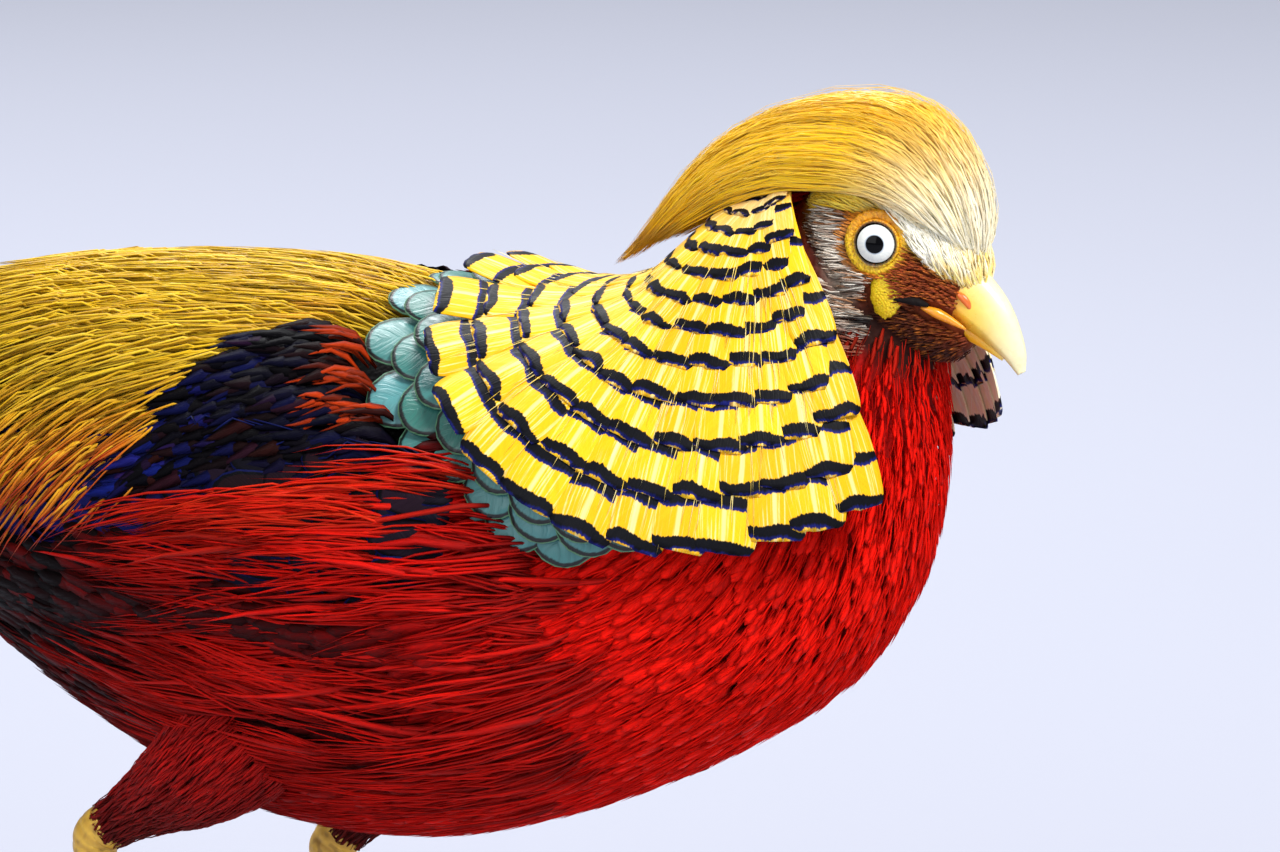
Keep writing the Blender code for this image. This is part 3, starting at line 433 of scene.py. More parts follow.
class Workshop:
    """Makes finished pieces out of forms, and hangs them on the frame."""

    def __init__(self, finishes: "Finishes") -> None:
        """Takes the finishes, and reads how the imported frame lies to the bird's own."""
        self.finishes = finishes
        self.shift = shift_to_frame()

    def to_frame(self, points: Array) -> Array:
        """Points of the bird's frame, in mm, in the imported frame, in metres."""
        return (points + self.shift) * MM

    def hang(
        self, name: str, mesh: bpy.types.Mesh, finish: "Finish", nodes: Sequence[str]
    ) -> bpy.types.Object:
        """Makes a piece of a mesh, lets it ride on the bird and hides the nodes that it stands for."""
        mesh.shade_smooth()
        mesh.materials.append(self.finishes.get(finish))
        mesh.update()
        piece = bpy.data.objects.new(name, mesh)
        bpy.context.scene.collection.objects.link(piece)
        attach(piece, "root")
        if nodes:
            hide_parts(*nodes)
        log.info("%s: %d triangles", piece.name, sum(len(p.vertices) - 2 for p in piece.data.polygons))
        return piece

    def solid(
        self,
        name: str,
        bm: bmesh.types.BMesh,
        finish: "Finish",
        slot: str,
        nodes: Sequence[str],
        marks: Callable[[Array], Array] | Array | None = None,
    ) -> bpy.types.Object:
        """A smooth closed piece from a bmesh in the bird's frame.

        Args:
            name: The piece's name.
            bm: The form; it is used up.
            finish: What it is painted with.
            slot: The record's material slot; not used.
            nodes: The nodes that it stands for.
            marks: A colour, or what gives one for each place; it is kept as the attribute tint.

        Returns:
            The piece.
        """
        mesh = bpy.data.meshes.new(name)
        bm.to_mesh(mesh)
        bm.free()
        return self.finish(name, mesh, finish, slot, nodes, marks)

    def finish(
        self,
        name: str,
        mesh: bpy.types.Mesh,
        finish: "Finish",
        slot: str,
        nodes: Sequence[str],
        marks: Callable[[Array], Array] | Array | None,
    ) -> bpy.types.Object:
        """Colours a mesh of the bird's frame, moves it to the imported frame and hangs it."""
        points = np.zeros(len(mesh.vertices) * 3)
        mesh.vertices.foreach_get("co", points)
        points = points.reshape(-1, 3)
        if marks is not None:
            colours = np.ones((len(points), 4))
            colours[:, :3] = marks(points) if callable(marks) else marks
            mesh.color_attributes.new("tint", "FLOAT_COLOR", "POINT").data.foreach_set(
                "color", colours.ravel()
            )
        mesh.vertices.foreach_set("co", self.to_frame(points).ravel())
        return self.hang(name, mesh, finish, nodes)


@dataclass(frozen=True)
class Quill:
    """The form of one kind of feather: stations from root to tip, each a closed ring of points.

    Widths are shares of the half width, the section is across and up, in half widths and
    thicknesses, and camber is how far the middle stands up, in half widths.
    """

    marks: tuple
    widths: tuple
    section: tuple
    camber: float = 0.0
    pointed: bool = True

    @property
    def stops(self) -> Array:
        """Shares of the length at its stations, and at its tip if it has a point."""
        return np.array(self.marks + ((1.0,) if self.pointed else ()))

    def faces(self) -> Array:
        """Triangles of one feather, root and tip closed."""
        sides, stations = len(self.section), len(self.marks)
        around = [(k, (k + 1) % sides) for k in range(sides)]
        found = [(0, k, k + 1) for k in range(1, sides - 1)]
        for row in range(0, (stations - 1) * sides, sides):
            for k, n in around:
                found += [(row + k, row + sides + k, row + sides + n), (row + k, row + sides + n, row + n)]
        end = (stations - 1) * sides
        if self.pointed:
            found += [(end + k, end + sides, end + n) for k, n in around]
        else:
            found += [(end, end + k + 1, end + k) for k in range(1, sides - 1)]
        return np.array(found)[:, ::-1]


def flat_section(columns: int) -> tuple:
    """A ring of points round a thin sheet with some columns across it."""
    across = np.linspace(-1, 1, columns)
    return tuple([(u, 0.5) for u in across] + [(u, -0.5) for u in across[::-1]])


RIDGED = ((-1.0, 0.0), (0.0, 1.0), (1.0, 0.0))
LENS = ((-1.0, 0.0), (0.0, 0.6), (1.0, 0.0), (0.0, -0.4))
STRAND = Quill((0, 0.35, 0.7), (0.8, 1.0, 0.7), RIDGED)
LONG_STRAND = Quill((0, 0.15, 0.35, 0.58, 0.8), (0.7, 1.0, 1.0, 0.85, 0.5), RIDGED)
SHORT_HAIR = Quill((0, 0.55), (0.9, 0.8), RIDGED)
LEAF = Quill((0, 0.45, 0.85), (0.5, 1.0, 0.75), LENS, 0.12)
LANCE = Quill((0, 0.2, 0.5, 0.78, 0.93), (0.45, 1.0, 0.85, 0.5, 0.22), LENS, 0.1)


class Coat:
    """A piece of plumage: many feathers of a few kinds joined in one mesh."""

    def __init__(self, name: str, rough: np.random.Generator) -> None:
        """An empty coat."""
        self.name = name
        self.rough = rough
        self.points: list[Array] = []
        self.faces: list[Array] = []
        self.lies: list[Array] = []
        self.bakes: list[Array] = []
        self.tints: list[Array] = []
        self.used = 0

    def add(
        self,
        quill: Quill,
        lie: Lie,
        half: Array,
        thick: float,
        lift: Array,
        tint: Array,
        sway: float = 0.0,
        fray: Array | None = None,
        patch: float = 0.003,
    ) -> None:
        """Lays feathers of one kind on their ways.

        Args:
            quill: The kind.
            lie: A way for each feather.
            half: Half widths in mm.
            thick: Thickness in mm.
            lift: Height over the surface in mm, for each feather at each station, and at the tip.
            tint: Colour of each feather, or of each feather at each station and the tip.
            sway: How far strands wander sideways in mm.
            fray: How far each column of the last station is drawn out in mm.
            patch: Size of a feather on the bake map.
        """
        count = len(lie.places)
        marks = quill.stops
        widths = np.array(quill.widths + ((0.0,) if quill.pointed else ()))
        places, normals, headings = lie.read(marks)
        across = unit(np.cross(headings, normals))
        lift = np.broadcast_to(lift, (count, len(marks)))
        if sway:
            phase = self.rough.random((count, 1)) * 6.3
            swing = np.sin(phase + marks * (2.5 + 3 * self.rough.random((count, 1)))) - np.sin(phase)
            places = places + across * (swing * sway)[..., None]
        places = places + normals * lift[..., None]
        half = np.broadcast_to(half, count)[:, None, None]
        section = np.array(quill.section)
        stations = len(quill.marks)
        u, rise = section[:, 0], section[:, 1]
        broad = half * widths[None, :stations, None] * u
        up = thick * rise * (0.4 + 0.6 * widths[None, :stations, None]) + quill.camber * half * widths[
            None, :stations, None
        ] * (1 - u**2)
        points = (
            places[:, :stations, None]
            + across[:, :stations, None] * broad[..., None]
            + normals[:, :stations, None] * up[..., None]
        )
        if fray is not None:
            points[:, -1] += headings[:, stations - 1, None] * fray[..., None]
        sides = len(section)
        points = points.reshape(count, -1, 3)
        spread = np.stack([np.tile(u, stations), np.repeat(marks[:stations], sides)], -1)
        if tint.ndim == 2:
            tint = np.broadcast_to(tint[:, None], (count, len(marks), 3))
        colours = np.repeat(tint[:, :stations], sides, axis=1)
        if quill.pointed:
            points = np.concatenate([points, places[:, -1:]], 1)
            spread = np.concatenate([spread, [(0.0, 1.0)]])
            colours = np.concatenate([colours, tint[:, -1:]], 1)
        spread = spread * (0.5, 1) + (0.5, 0)
        size = points.shape[1]
        chance = np.broadcast_to(self.rough.random((count, 1, 1)), (count, size, 1))
        faces = quill.faces()[None] + (np.arange(count) * size)[:, None, None] + self.used
        self.points.append(points.reshape(-1, 3))
        self.faces.append(faces.reshape(-1, 3))
        self.lies.append(np.tile(spread, (count, 1)))
        bakes = lie.patches[:, None] * (1 - patch) + spread[None] * patch
        self.bakes.append(bakes.reshape(-1, 2))
        self.tints.append(np.concatenate([colours, chance], 2).reshape(-1, 4))
        self.used += count * size

    def build(self, shop: Workshop, finish: "Finish", slot: str, nodes: Sequence[str]) -> bpy.types.Object:
        """Makes the piece and hangs it on the frame."""
        points, faces = np.concatenate(self.points), np.concatenate(self.faces)
        mesh = bpy.data.meshes.new(self.name)
        mesh.vertices.add(len(points))
        mesh.vertices.foreach_set("co", shop.to_frame(points).ravel())
        mesh.loops.add(faces.size)
        mesh.loops.foreach_set("vertex_index", faces.ravel())
        mesh.polygons.add(len(faces))
        mesh.polygons.foreach_set("loop_start", np.arange(0, faces.size, 3))
        mesh.update(calc_edges=True)
        for title, values in (("lie", self.lies), ("OFBake", self.bakes)):
            spread = np.concatenate(values)[faces.ravel()]
            mesh.uv_layers.new(name=title).data.foreach_set("uv", spread.ravel())
        tints = mesh.color_attributes.new("tint", "FLOAT_COLOR", "POINT")
        tints.data.foreach_set("color", np.concatenate(self.tints).ravel())
        return shop.hang(self.name, mesh, finish, nodes)


class Graph:
    """A node tree under construction."""

    def __init__(self, tree: bpy.types.NodeTree) -> None:
        """Starts on an empty or a new tree."""
        self.tree = tree

    def node(self, kind: str, inputs: dict | None = None, **settings: object) -> bpy.types.Node:
        """A node with settings, its inputs set to values or linked to sockets."""
        made = self.tree.nodes.new(kind)
        for key, value in settings.items():
            setattr(made, key, value)
        for key, value in (inputs or {}).items():
            self.put(made.inputs[key], value)
        return made

    def put(self, socket: bpy.types.NodeSocket, value: object) -> None:
        """Sets a socket to a value, or links it to another socket."""
        if isinstance(value, bpy.types.NodeSocket):
            self.tree.links.new(value, socket)
        elif socket.type == "RGBA":
            socket.default_value = (*[float(v) for v in value], 1.0)[:4]
        else:
            socket.default_value = value

    def math(self, how: str, first: object, last: object = 0.0) -> bpy.types.NodeSocket:
        """A sum of one or two values."""
        return self.node("ShaderNodeMath", {0: first, 1: last}, operation=how).outputs[0]

    def plus(self, first: object, last: object) -> bpy.types.NodeSocket:
        """Two values added."""
        return self.math("ADD", first, last)

    def minus(self, first: object, last: object) -> bpy.types.NodeSocket:
        """The first value less the last."""
        return self.math("SUBTRACT", first, last)

    def times(self, first: object, last: object) -> bpy.types.NodeSocket:
        """Two values multiplied."""
        return self.math("MULTIPLY", first, last)

    def across(self, u: object) -> bpy.types.NodeSocket:
        """How far a place lies from a feather's shaft: 0 on it, 1 at the edge."""
        return self.times(self.math("ABSOLUTE", self.minus(u, 0.5)), 2.0)

    def comb(self, parts: Sequence[object], scales: Sequence[float], detail: float) -> bpy.types.NodeSocket:
        """Noise over values that are each spread by a scale of their own."""
        return self.noise(self.join(*map(self.times, parts, scales)), 1.0, detail)

    def tint(self) -> tuple[bpy.types.NodeSocket, bpy.types.NodeSocket]:
        """The piece's own colour, and each feather's chance."""
        found = self.node("ShaderNodeAttribute", attribute_name="tint").outputs
        return found["Color"], found["Alpha"]

    def lie(self) -> bpy.types.NodeSocket:
        """Places on each feather, across it and from root to tip."""
        return self.node("ShaderNodeUVMap", uv_map="lie").outputs[0]

    def place(self) -> bpy.types.NodeSocket:
        """Places in the piece's own frame."""
        return self.node("ShaderNodeTexCoord").outputs["Object"]

    def scale(self, colour: object, share: object) -> bpy.types.NodeSocket:
        """A colour made lighter or darker."""
        made = self.node("ShaderNodeVectorMath", {0: colour}, operation="SCALE")
        self.put(made.inputs["Scale"], share)
        return made.outputs[0]

    def shared(self, tree: bpy.types.NodeTree, inputs: dict[str, object]) -> bpy.types.NodeOutputs:
        """The results of a shared group."""
        made = self.node("ShaderNodeGroup", node_tree=tree)
        for title, value in inputs.items():
            self.put(made.inputs[title], value)
        return made.outputs

    def step(self, value: object, low: float, high: float) -> bpy.types.NodeSocket:
        """0 under low, 1 over high, a smooth step between; low may be the larger."""
        if low > high:
            return self.minus(1.0, self.step(value, high, low))
        inputs = {"Value": value, "From Min": low, "From Max": high}
        return self.node("ShaderNodeMapRange", inputs, interpolation_type="SMOOTHSTEP").outputs[0]

    def range(self, value: object, low: float, high: float) -> bpy.types.NodeSocket:
        """A value from 0 to 1 spread from low to high."""
        return self.node("ShaderNodeMapRange", {"Value": value, "To Min": low, "To Max": high}).outputs[0]

    def mix(self, share: object, first: object, last: object) -> bpy.types.NodeSocket:
        """Two colours mixed by a share."""
        made = self.node("ShaderNodeMix", data_type="RGBA", blend_type="MIX", clamp_factor=True)
        self.put(made.inputs[0], share)
        self.put(made.inputs[6], first)
        self.put(made.inputs[7], last)
        return made.outputs[2]

    def noise(self, vector: object, scale: float, detail: float = 2.0, rough: float = 0.5) -> bpy.types.NodeSocket:
        """A noise value over a vector."""
        inputs = {"Vector": vector, "Scale": scale, "Detail": detail, "Roughness": rough}
        return self.node("ShaderNodeTexNoise", inputs).outputs[0]

    def split(self, vector: object) -> tuple[bpy.types.NodeSocket, ...]:
        """The three parts of a vector."""
        return tuple(self.node("ShaderNodeSeparateXYZ", {0: vector}).outputs)

    def join(self, x: object, y: object, z: object = 0.0) -> bpy.types.NodeSocket:
        """A vector of three parts."""
        return self.node("ShaderNodeCombineXYZ", {0: x, 1: y, 2: z}).outputs[0]

    def bump(self, height: object, distance: float, strength: float = 1.0) -> bpy.types.NodeSocket:
        """A normal bent by a height, with its depth in metres."""
        return self.node(
            "ShaderNodeBump", {"Height": height, "Distance": distance, "Strength": strength}
        ).outputs[0]


def new_group(name: str, takes: dict[str, str], gives: dict[str, str]) -> tuple[Graph, dict, dict]:
    """An empty shader group with named sockets.

    Args:
        name: The group's name.
        takes: Names and kinds of its inputs.
        gives: Names and kinds of its outputs.

    Returns:
        Its graph, its input values and the sockets that take its results.
    """
    tree = bpy.data.node_groups.new(name, "ShaderNodeTree")
    for way, sockets in (("INPUT", takes), ("OUTPUT", gives)):
        for title, kind in sockets.items():
            tree.interface.new_socket(name=title, in_out=way, socket_type="NodeSocket" + kind)
    start, end = tree.nodes.new("NodeGroupInput"), tree.nodes.new("NodeGroupOutput")
    return Graph(tree), {t: start.outputs[t] for t in takes}, {t: end.inputs[t] for t in gives}


class Effects:
    """The shader groups that several finishes share, each built once."""

    def __init__(self) -> None:
        """Builds the groups."""
        self.barbs = self._barbs()
        self.grain = self._grain()

    @staticmethod
    def _barbs() -> bpy.types.NodeTree:
        """Fine streaks that run out from a feather's shaft towards its tip."""
        graph, takes, gives = new_group(
            "feather_barbs",
            {"Lie": "Vector", "Chance": "Float", "Rows": "Float", "Slant": "Float"},
            {"Streak": "Float", "Shaft": "Float"},
        )
        u, v, _ = graph.split(takes["Lie"])
        out = graph.math("ABSOLUTE", graph.minus(u, 0.5))
        row = graph.minus(graph.times(v, takes["Rows"]), graph.times(out, takes["Slant"]))
        side = graph.plus(graph.times(u, 2.0), graph.times(takes["Chance"], 91.0))
        streak = graph.noise(graph.join(row, side, graph.times(takes["Chance"], 37.0)), 1.0, 3.0, 0.6)
        graph.put(gives["Streak"], graph.step(streak, 0.3, 0.7))
        graph.put(gives["Shaft"], graph.step(out, 0.05, 0.015))
        return graph.tree

    @staticmethod
    def _grain() -> bpy.types.NodeTree:
        """Small round grains with colour patches, for bare skin and horn."""
        graph, takes, gives = new_group(
            "skin_grain", {"Place": "Vector", "Scale": "Float"}, {"Grain": "Float", "Patch": "Float"}
        )
        cells = graph.node(
            "ShaderNodeTexVoronoi", {"Vector": takes["Place"], "Scale": takes["Scale"]}, feature="SMOOTH_F1"
        )
        graph.put(gives["Grain"], graph.minus(1.0, cells.outputs["Distance"]))
        graph.put(gives["Patch"], graph.noise(takes["Place"], 260.0, 4.0, 0.6))
        return graph.tree


@dataclass(frozen=True)
class Gloss:
    """The constant sockets of a finish."""

    roughness: float = 0.5
    specular: float = 0.5
    sheen: float = 0.0
    sheen_roughness: float = 0.4
    sheen_tint: tuple = (1.0, 1.0, 1.0)
    coat: float = 0.0
    subsurface: float = 0.0


class Paint(Graph):
    """The graph of a new material, with the constant sockets of its shader set."""

    def __init__(self, name: str, gloss: Gloss) -> None:
        """Starts a material of this name."""
        self.material = bpy.data.materials.new(name)
        self.material.use_nodes = True
        super().__init__(self.material.node_tree)
        self.shader = shader = self.tree.nodes["Principled BSDF"]
        shader.inputs["Roughness"].default_value = gloss.roughness
        shader.inputs["Specular IOR Level"].default_value = gloss.specular
        shader.inputs["Sheen Weight"].default_value = gloss.sheen
        shader.inputs["Sheen Roughness"].default_value = gloss.sheen_roughness
        shader.inputs["Sheen Tint"].default_value = (*gloss.sheen_tint, 1.0)
        shader.inputs["Coat Weight"].default_value = gloss.coat
        shader.inputs["Coat Roughness"].default_value = 0.05
        shader.inputs["Subsurface Weight"].default_value = gloss.subsurface
        shader.inputs["Subsurface Scale"].default_value = 0.002

    def done(self, colour: object, roughness: object = None, normal: object = None) -> bpy.types.Material:
        """Links the results to the shader, and gives the finished material."""
        for title, value in (("Base Color", colour), ("Roughness", roughness), ("Normal", normal)):
            if value is not None:
                self.put(self.shader.inputs[title], value)
        return self.material


class Finish(Protocol):
    """What a piece can be painted with."""

    name: str

    def make(self, effects: Effects) -> bpy.types.Material:
        """Builds the material."""


@dataclass(frozen=True)
class PlainFeather:
    """Feathers with a colour of their own, streaked by their barbs."""

    name: str
    gloss: Gloss
    rows: float = 10.0
    slant: float = 6.0
    amount: float = 0.3
    relief: float = 0.00015

    def make(self, effects: Effects) -> bpy.types.Material:
        """Builds the material."""
        graph = Paint(self.name, self.gloss)
        tint, chance = graph.tint()
        inputs = {"Lie": graph.lie(), "Chance": chance, "Rows": self.rows, "Slant": self.slant}
        streak = graph.shared(effects.barbs, inputs)["Streak"]
        colour = graph.scale(tint, graph.range(streak, 1 - self.amount, 1 + self.amount))
        rough = self.gloss.roughness
        rough = graph.range(streak, rough - 0.1, rough + 0.12)
        return graph.done(colour, rough, graph.bump(streak, self.relief, 0.6))


@dataclass(frozen=True)
class BarredFeather:
    """The cape's square feathers: gold with dark blue-edged bars across."""

    name: str = "cape_barred_gold"
    gloss: Gloss = Gloss(0.5, 0.14)
    bar: float = 0.105  # thickness in the middle, in lengths of the feather
    spacing: float = 0.32
    black: tuple = tuple(linear(4, 5, 12))
    blue: tuple = tuple(linear(20, 30, 120))
    pale: tuple = tuple(linear(255, 246, 184))

    def make(self, effects: Effects) -> bpy.types.Material:
        """Builds the material."""
        graph = Paint(self.name, self.gloss)
        tint, chance = graph.tint()
        lie = graph.lie()
        u, v, _ = graph.split(lie)
        ragged = graph.times(graph.minus(graph.comb((u, v, chance), (26.0, 3.0, 50.0), 1.0), 0.5), 0.035)
        bend = graph.times(graph.minus(graph.comb((u, chance), (2.2, 80.0), 0.0), 0.5), 0.1)
        thin = graph.minus(1.0, graph.times(graph.math("POWER", graph.across(u), 3.0), 0.4))
        width = graph.times(thin, self.bar)
        along = graph.plus(graph.plus(v, ragged), bend)
        bars, blues = 0.0, 0.0
        for end in (1.0, 1.0 - self.spacing):
            edge = graph.plus(graph.minus(along, end), width)
            past = graph.minus(edge, width)
            band = graph.times(graph.step(edge, -0.004, 0.008), graph.step(past, 0.008, -0.004))
            fringe = graph.times(band, graph.step(past, -0.032, -0.004))
            bars, blues = graph.math("MAXIMUM", bars, band), graph.math("MAXIMUM", blues, fringe)
        barbs = graph.shared(effects.barbs, {"Lie": lie, "Chance": chance, "Rows": 26.0, "Slant": 16.0})
        streak = barbs["Streak"]
        fine = graph.comb((u, v, chance), (34.0, 2.0, 20.0), 2.0)
        gold = graph.mix(graph.times(graph.step(fine, 0.5, 0.72), 0.6), tint, self.pale)
        gold = graph.mix(graph.times(streak, 0.28), gold, tuple(linear(232, 158, 4)))
        gold = graph.mix(graph.times(barbs["Shaft"], 0.5), gold, self.pale)
        dark = graph.mix(graph.times(blues, 0.75), self.black, self.blue)
        rough = graph.range(streak, 0.46, 0.6)
        return graph.done(graph.mix(bars, gold, dark), rough, graph.bump(fine, 0.0002, 0.6))


@dataclass(frozen=True)
class EdgedFeather:
    """Rounded feathers with a dark edge inside a thin shining rim."""

    name: str
    gloss: Gloss
    edge: tuple
    rim: tuple
    edge_from: float = 0.62
    rim_from: float = 0.9
    rim_amount: float = 0.8
    streaks: float = 0.2

    def make(self, effects: Effects) -> bpy.types.Material:
        """Builds the material."""
        graph = Paint(self.name, self.gloss)
        tint, chance = graph.tint()
        lie = graph.lie()
        u, v, _ = graph.split(lie)
        side = graph.math("POWER", graph.across(u), 3.0)
        rest = graph.times(graph.minus(1.0, side), graph.minus(1.0, graph.math("POWER", v, 7.0)))
        comb = graph.comb((u, v, chance), (20.0, 20.0, 50.0), 2.0)
        close = graph.plus(graph.minus(1.0, rest), graph.times(graph.minus(comb, 0.5), 0.12))
        streak = graph.shared(effects.barbs, {"Lie": lie, "Chance": chance, "Rows": 22.0, "Slant": 14.0})["Streak"]
        body = graph.mix(graph.times(streak, self.streaks), tint, self.edge)
        colour = graph.mix(graph.step(close, self.edge_from, self.edge_from + 0.1), body, self.edge)
        rim = graph.times(graph.step(close, self.rim_from, self.rim_from + 0.05), self.rim_amount)
        rough = self.gloss.roughness
        rough = graph.range(streak, rough - 0.08, rough + 0.1)
        return graph.done(graph.mix(rim, colour, self.rim), rough, graph.bump(streak, 0.0002, 0.5))


@dataclass(frozen=True)
class TailFeather:
    """Tail feathers: dark, with cinnamon spots on the middle pair and slanting bars on the others."""

    name: str = "tail_mottled"
    gloss: Gloss = Gloss(0.5, 0.4)
    dark: tuple = tuple(linear(24, 15, 10))

    def make(self, effects: Effects) -> bpy.types.Material:
        """Builds the material."""
        graph = Paint(self.name, self.gloss)
        tint, chance = graph.tint()
        place = graph.place()
        u, v, _ = graph.split(graph.lie())
        out = graph.across(u)
        cells = graph.node("ShaderNodeTexVoronoi", {"Vector": place, "Scale": 150.0})
        rough = graph.noise(place, 900.0, 2.0)
        spot = graph.step(graph.plus(cells.outputs["Distance"], graph.times(rough, 0.3)), 0.62, 0.5)
        slope = graph.minus(graph.times(v, 300.0), graph.times(out, 5.0))
        bar = graph.step(graph.math("SINE", graph.plus(slope, graph.times(rough, 2.5))), -0.1, 0.3)
        kind = graph.step(chance, 0.45, 0.55)
        pattern = graph.plus(graph.times(kind, bar), graph.times(graph.minus(1.0, kind), spot))
        colour = graph.mix(pattern, self.dark, tint)
        shaft = graph.times(graph.step(out, 0.09, 0.04), 0.7)
        colour = graph.mix(shaft, colour, tuple(linear(120, 84, 48)))
        ribs = graph.math("SINE", graph.times(slope, 3.0))
        return graph.done(colour, graph.range(rough, 0.42, 0.58), graph.bump(ribs, 0.0002, 0.4))


@dataclass(frozen=True)
class BareSkin:
    """Bare grained skin, horn or scales, coloured by the piece's own marks."""

    name: str
    gloss: Gloss
    scale: float
    relief: float
    patches: float = 0.25
    grain: float = 0.2
    pores: tuple = (0.0, 0.0, 0.0)

    def make(self, effects: Effects) -> bpy.types.Material:
        """Builds the material."""
        graph = Paint(self.name, self.gloss)
        tint, _ = graph.tint()
        made = graph.shared(effects.grain, {"Place": graph.place(), "Scale": self.scale})
        grain, patch = made["Grain"], made["Patch"]
        colour = graph.scale(tint, graph.range(patch, 1 - self.patches, 1 + self.patches))
        low = graph.times(graph.step(grain, 0.55, 0.3), self.grain)
        rough = self.gloss.roughness
        rough = graph.range(patch, rough - 0.1, rough + 0.12)
        return graph.done(graph.mix(low, colour, self.pores), rough, graph.bump(grain, self.relief, 0.8))


@dataclass(frozen=True)
class EyeGlass:
    """A glossy eyeball: an ivory iris with a round pupil, read from the ball's own map."""

    name: str = "eye_ivory"
    gloss: Gloss = Gloss(0.06, 0.12)
    pupil: float = 0.33
    iris: float = 0.69
    ivory: tuple = tuple(linear(238, 240, 232))
    blue: tuple = tuple(linear(176, 192, 205))
    black: tuple = tuple(linear(4, 4, 6))

    def make(self, effects: Effects) -> bpy.types.Material:
        """Builds the material."""
        graph = Paint(self.name, self.gloss)
        u, v, _ = graph.split(graph.lie())
        ray = graph.comb((u, v), (90.0, 3.0), 2.0)
        iris = graph.mix(graph.times(graph.step(ray, 0.35, 0.75), 0.3), self.ivory, self.blue)
        iris = graph.mix(graph.step(v, self.pupil + 0.07, self.pupil + 0.01), iris, tuple(linear(176, 188, 200)))
        colour = graph.mix(graph.step(v, self.iris - 0.012, self.iris + 0.008), iris, self.black)
        return graph.done(graph.mix(graph.step(v, self.pupil + 0.015, self.pupil - 0.01), colour, self.black))


@dataclass(frozen=True)
class Backdrop:
    """The pale, plain paint of the studio."""

    name: str = "studio_pale"
    colour: tuple = tuple(linear(172, 175, 188))

    def make(self, effects: Effects) -> bpy.types.Material:
        """Builds the material."""
        graph = Paint(self.name, Gloss(0.9, 0.1))
        pale = tuple(min(1.0, c * 1.12) for c in self.colour)
        return graph.done(graph.mix(graph.noise(graph.place(), 0.9, 2.0), self.colour, pale))


@dataclass
class Finishes:
    """Every material of the bird."""

    effects: Effects
    made: dict[str, bpy.types.Material] = field(default_factory=dict)

    def get(self, finish: Finish) -> bpy.types.Material:
        """The material of a finish, built at its first use."""
        if finish.name not in self.made:
            self.made[finish.name] = finish.make(self.effects)
        return self.made[finish.name]


BREAST = PlainFeather("breast_red", Gloss(0.6, 0.07), 9.0, 5.0, 0.25)
LONG_RED = PlainFeather("flank_red", Gloss(0.5, 0.12), 26.0, 18.0, 0.35)
GOLD_HAIR = PlainFeather("back_gold", Gloss(0.45, 0.25, 0.08, 0.4, (1.0, 0.85, 0.3)), 12.0, 4.0, 0.2)
SILK = PlainFeather("crest_silk", Gloss(0.36, 0.5, 0.4, 0.35, (1.0, 0.9, 0.4)), 10.0, 2.0, 0.12)
FACE = PlainFeather("face_down", Gloss(0.6, 0.3), 5.0, 3.0, 0.3)
SCAPULAR = PlainFeather("scapular_dark", Gloss(0.55, 0.05), 22.0, 14.0, 0.3)
THIGH = PlainFeather("thigh_maroon", Gloss(0.6, 0.14), 9.0, 5.0, 0.3)
COVERT = PlainFeather("tail_covert_orange", Gloss(0.45, 0.45), 40.0, 24.0, 0.3)
CAPE = BarredFeather()
MANTLE = EdgedFeather(
    "mantle_teal", Gloss(0.38, 0.5, 0.15, 0.3, (0.4, 1.0, 0.8)), tuple(linear(4, 9, 12)), tuple(linear(96, 150, 110)),
    0.66, 0.9,
)
WING = EdgedFeather(
    "wing_black_blue", Gloss(0.55, 0.07), tuple(linear(5, 5, 10)), tuple(linear(12, 24, 92)),
    0.5, 0.8, 0.5,
)
TAIL = TailFeather()
UNDERCOAT = BareSkin("undercoat", Gloss(0.8, 0.2), 900.0, 0.0004, 0.3, 0.3)
LAPPET = BareSkin(
    "lappet_yellow", Gloss(0.45, 0.5, subsurface=0.15), 2300.0, 0.0003, 0.12, 0.35, tuple(linear(170, 90, 0)),
)
HORN = BareSkin(
    "bill_horn", Gloss(0.28, 0.55, coat=0.25, subsurface=0.1), 500.0, 0.00008, 0.1, 0.1, tuple(linear(150, 90, 20)),
)
SCALES = BareSkin("leg_scales", Gloss(0.42, 0.5), 520.0, 0.0005, 0.15, 0.5, tuple(linear(110, 66, 14)))
CLAW = BareSkin("claw_horn", Gloss(0.32, 0.55, coat=0.2), 700.0, 0.0001, 0.25, 0.1)


# Where the gold of the back ends over the wing, and where the red of the flank begins: x and z
GOLD_ENDS = (
    (-236, 192), (-200, 181), (-170, 165), (-113, 167), (-82, 176), (-62, 189),
    (-57, 200), (-49, 208), (-35, 213), (-15, 221), (0, 232),
)
RED_BEGINS = (
    (-236, 192), (-200, 181), (-170, 165), (-113, 156), (-86, 164), (-44, 179),
    (5, 190), (40, 215), (60, 260),
)


# Where the crown's hair ends over ear, eye and face: forward and up in the head's frame
CROWN_EDGE = (
    (-24, -2), (-19, 2.9), (-11.7, 7.8), (-4, 11.4), (-0.5, 10.8), (6.3, 8.3), (11.8, 6.6), (15.4, 5.7), (21, 6.6),
)


def height_at(table: Sequence[tuple[float, float]], x: Array) -> Array:
    """Height of a boundary line at places along the bird."""
    rows = np.array(table, float)
    return np.interp(x, rows[:, 0], rows[:, 1])


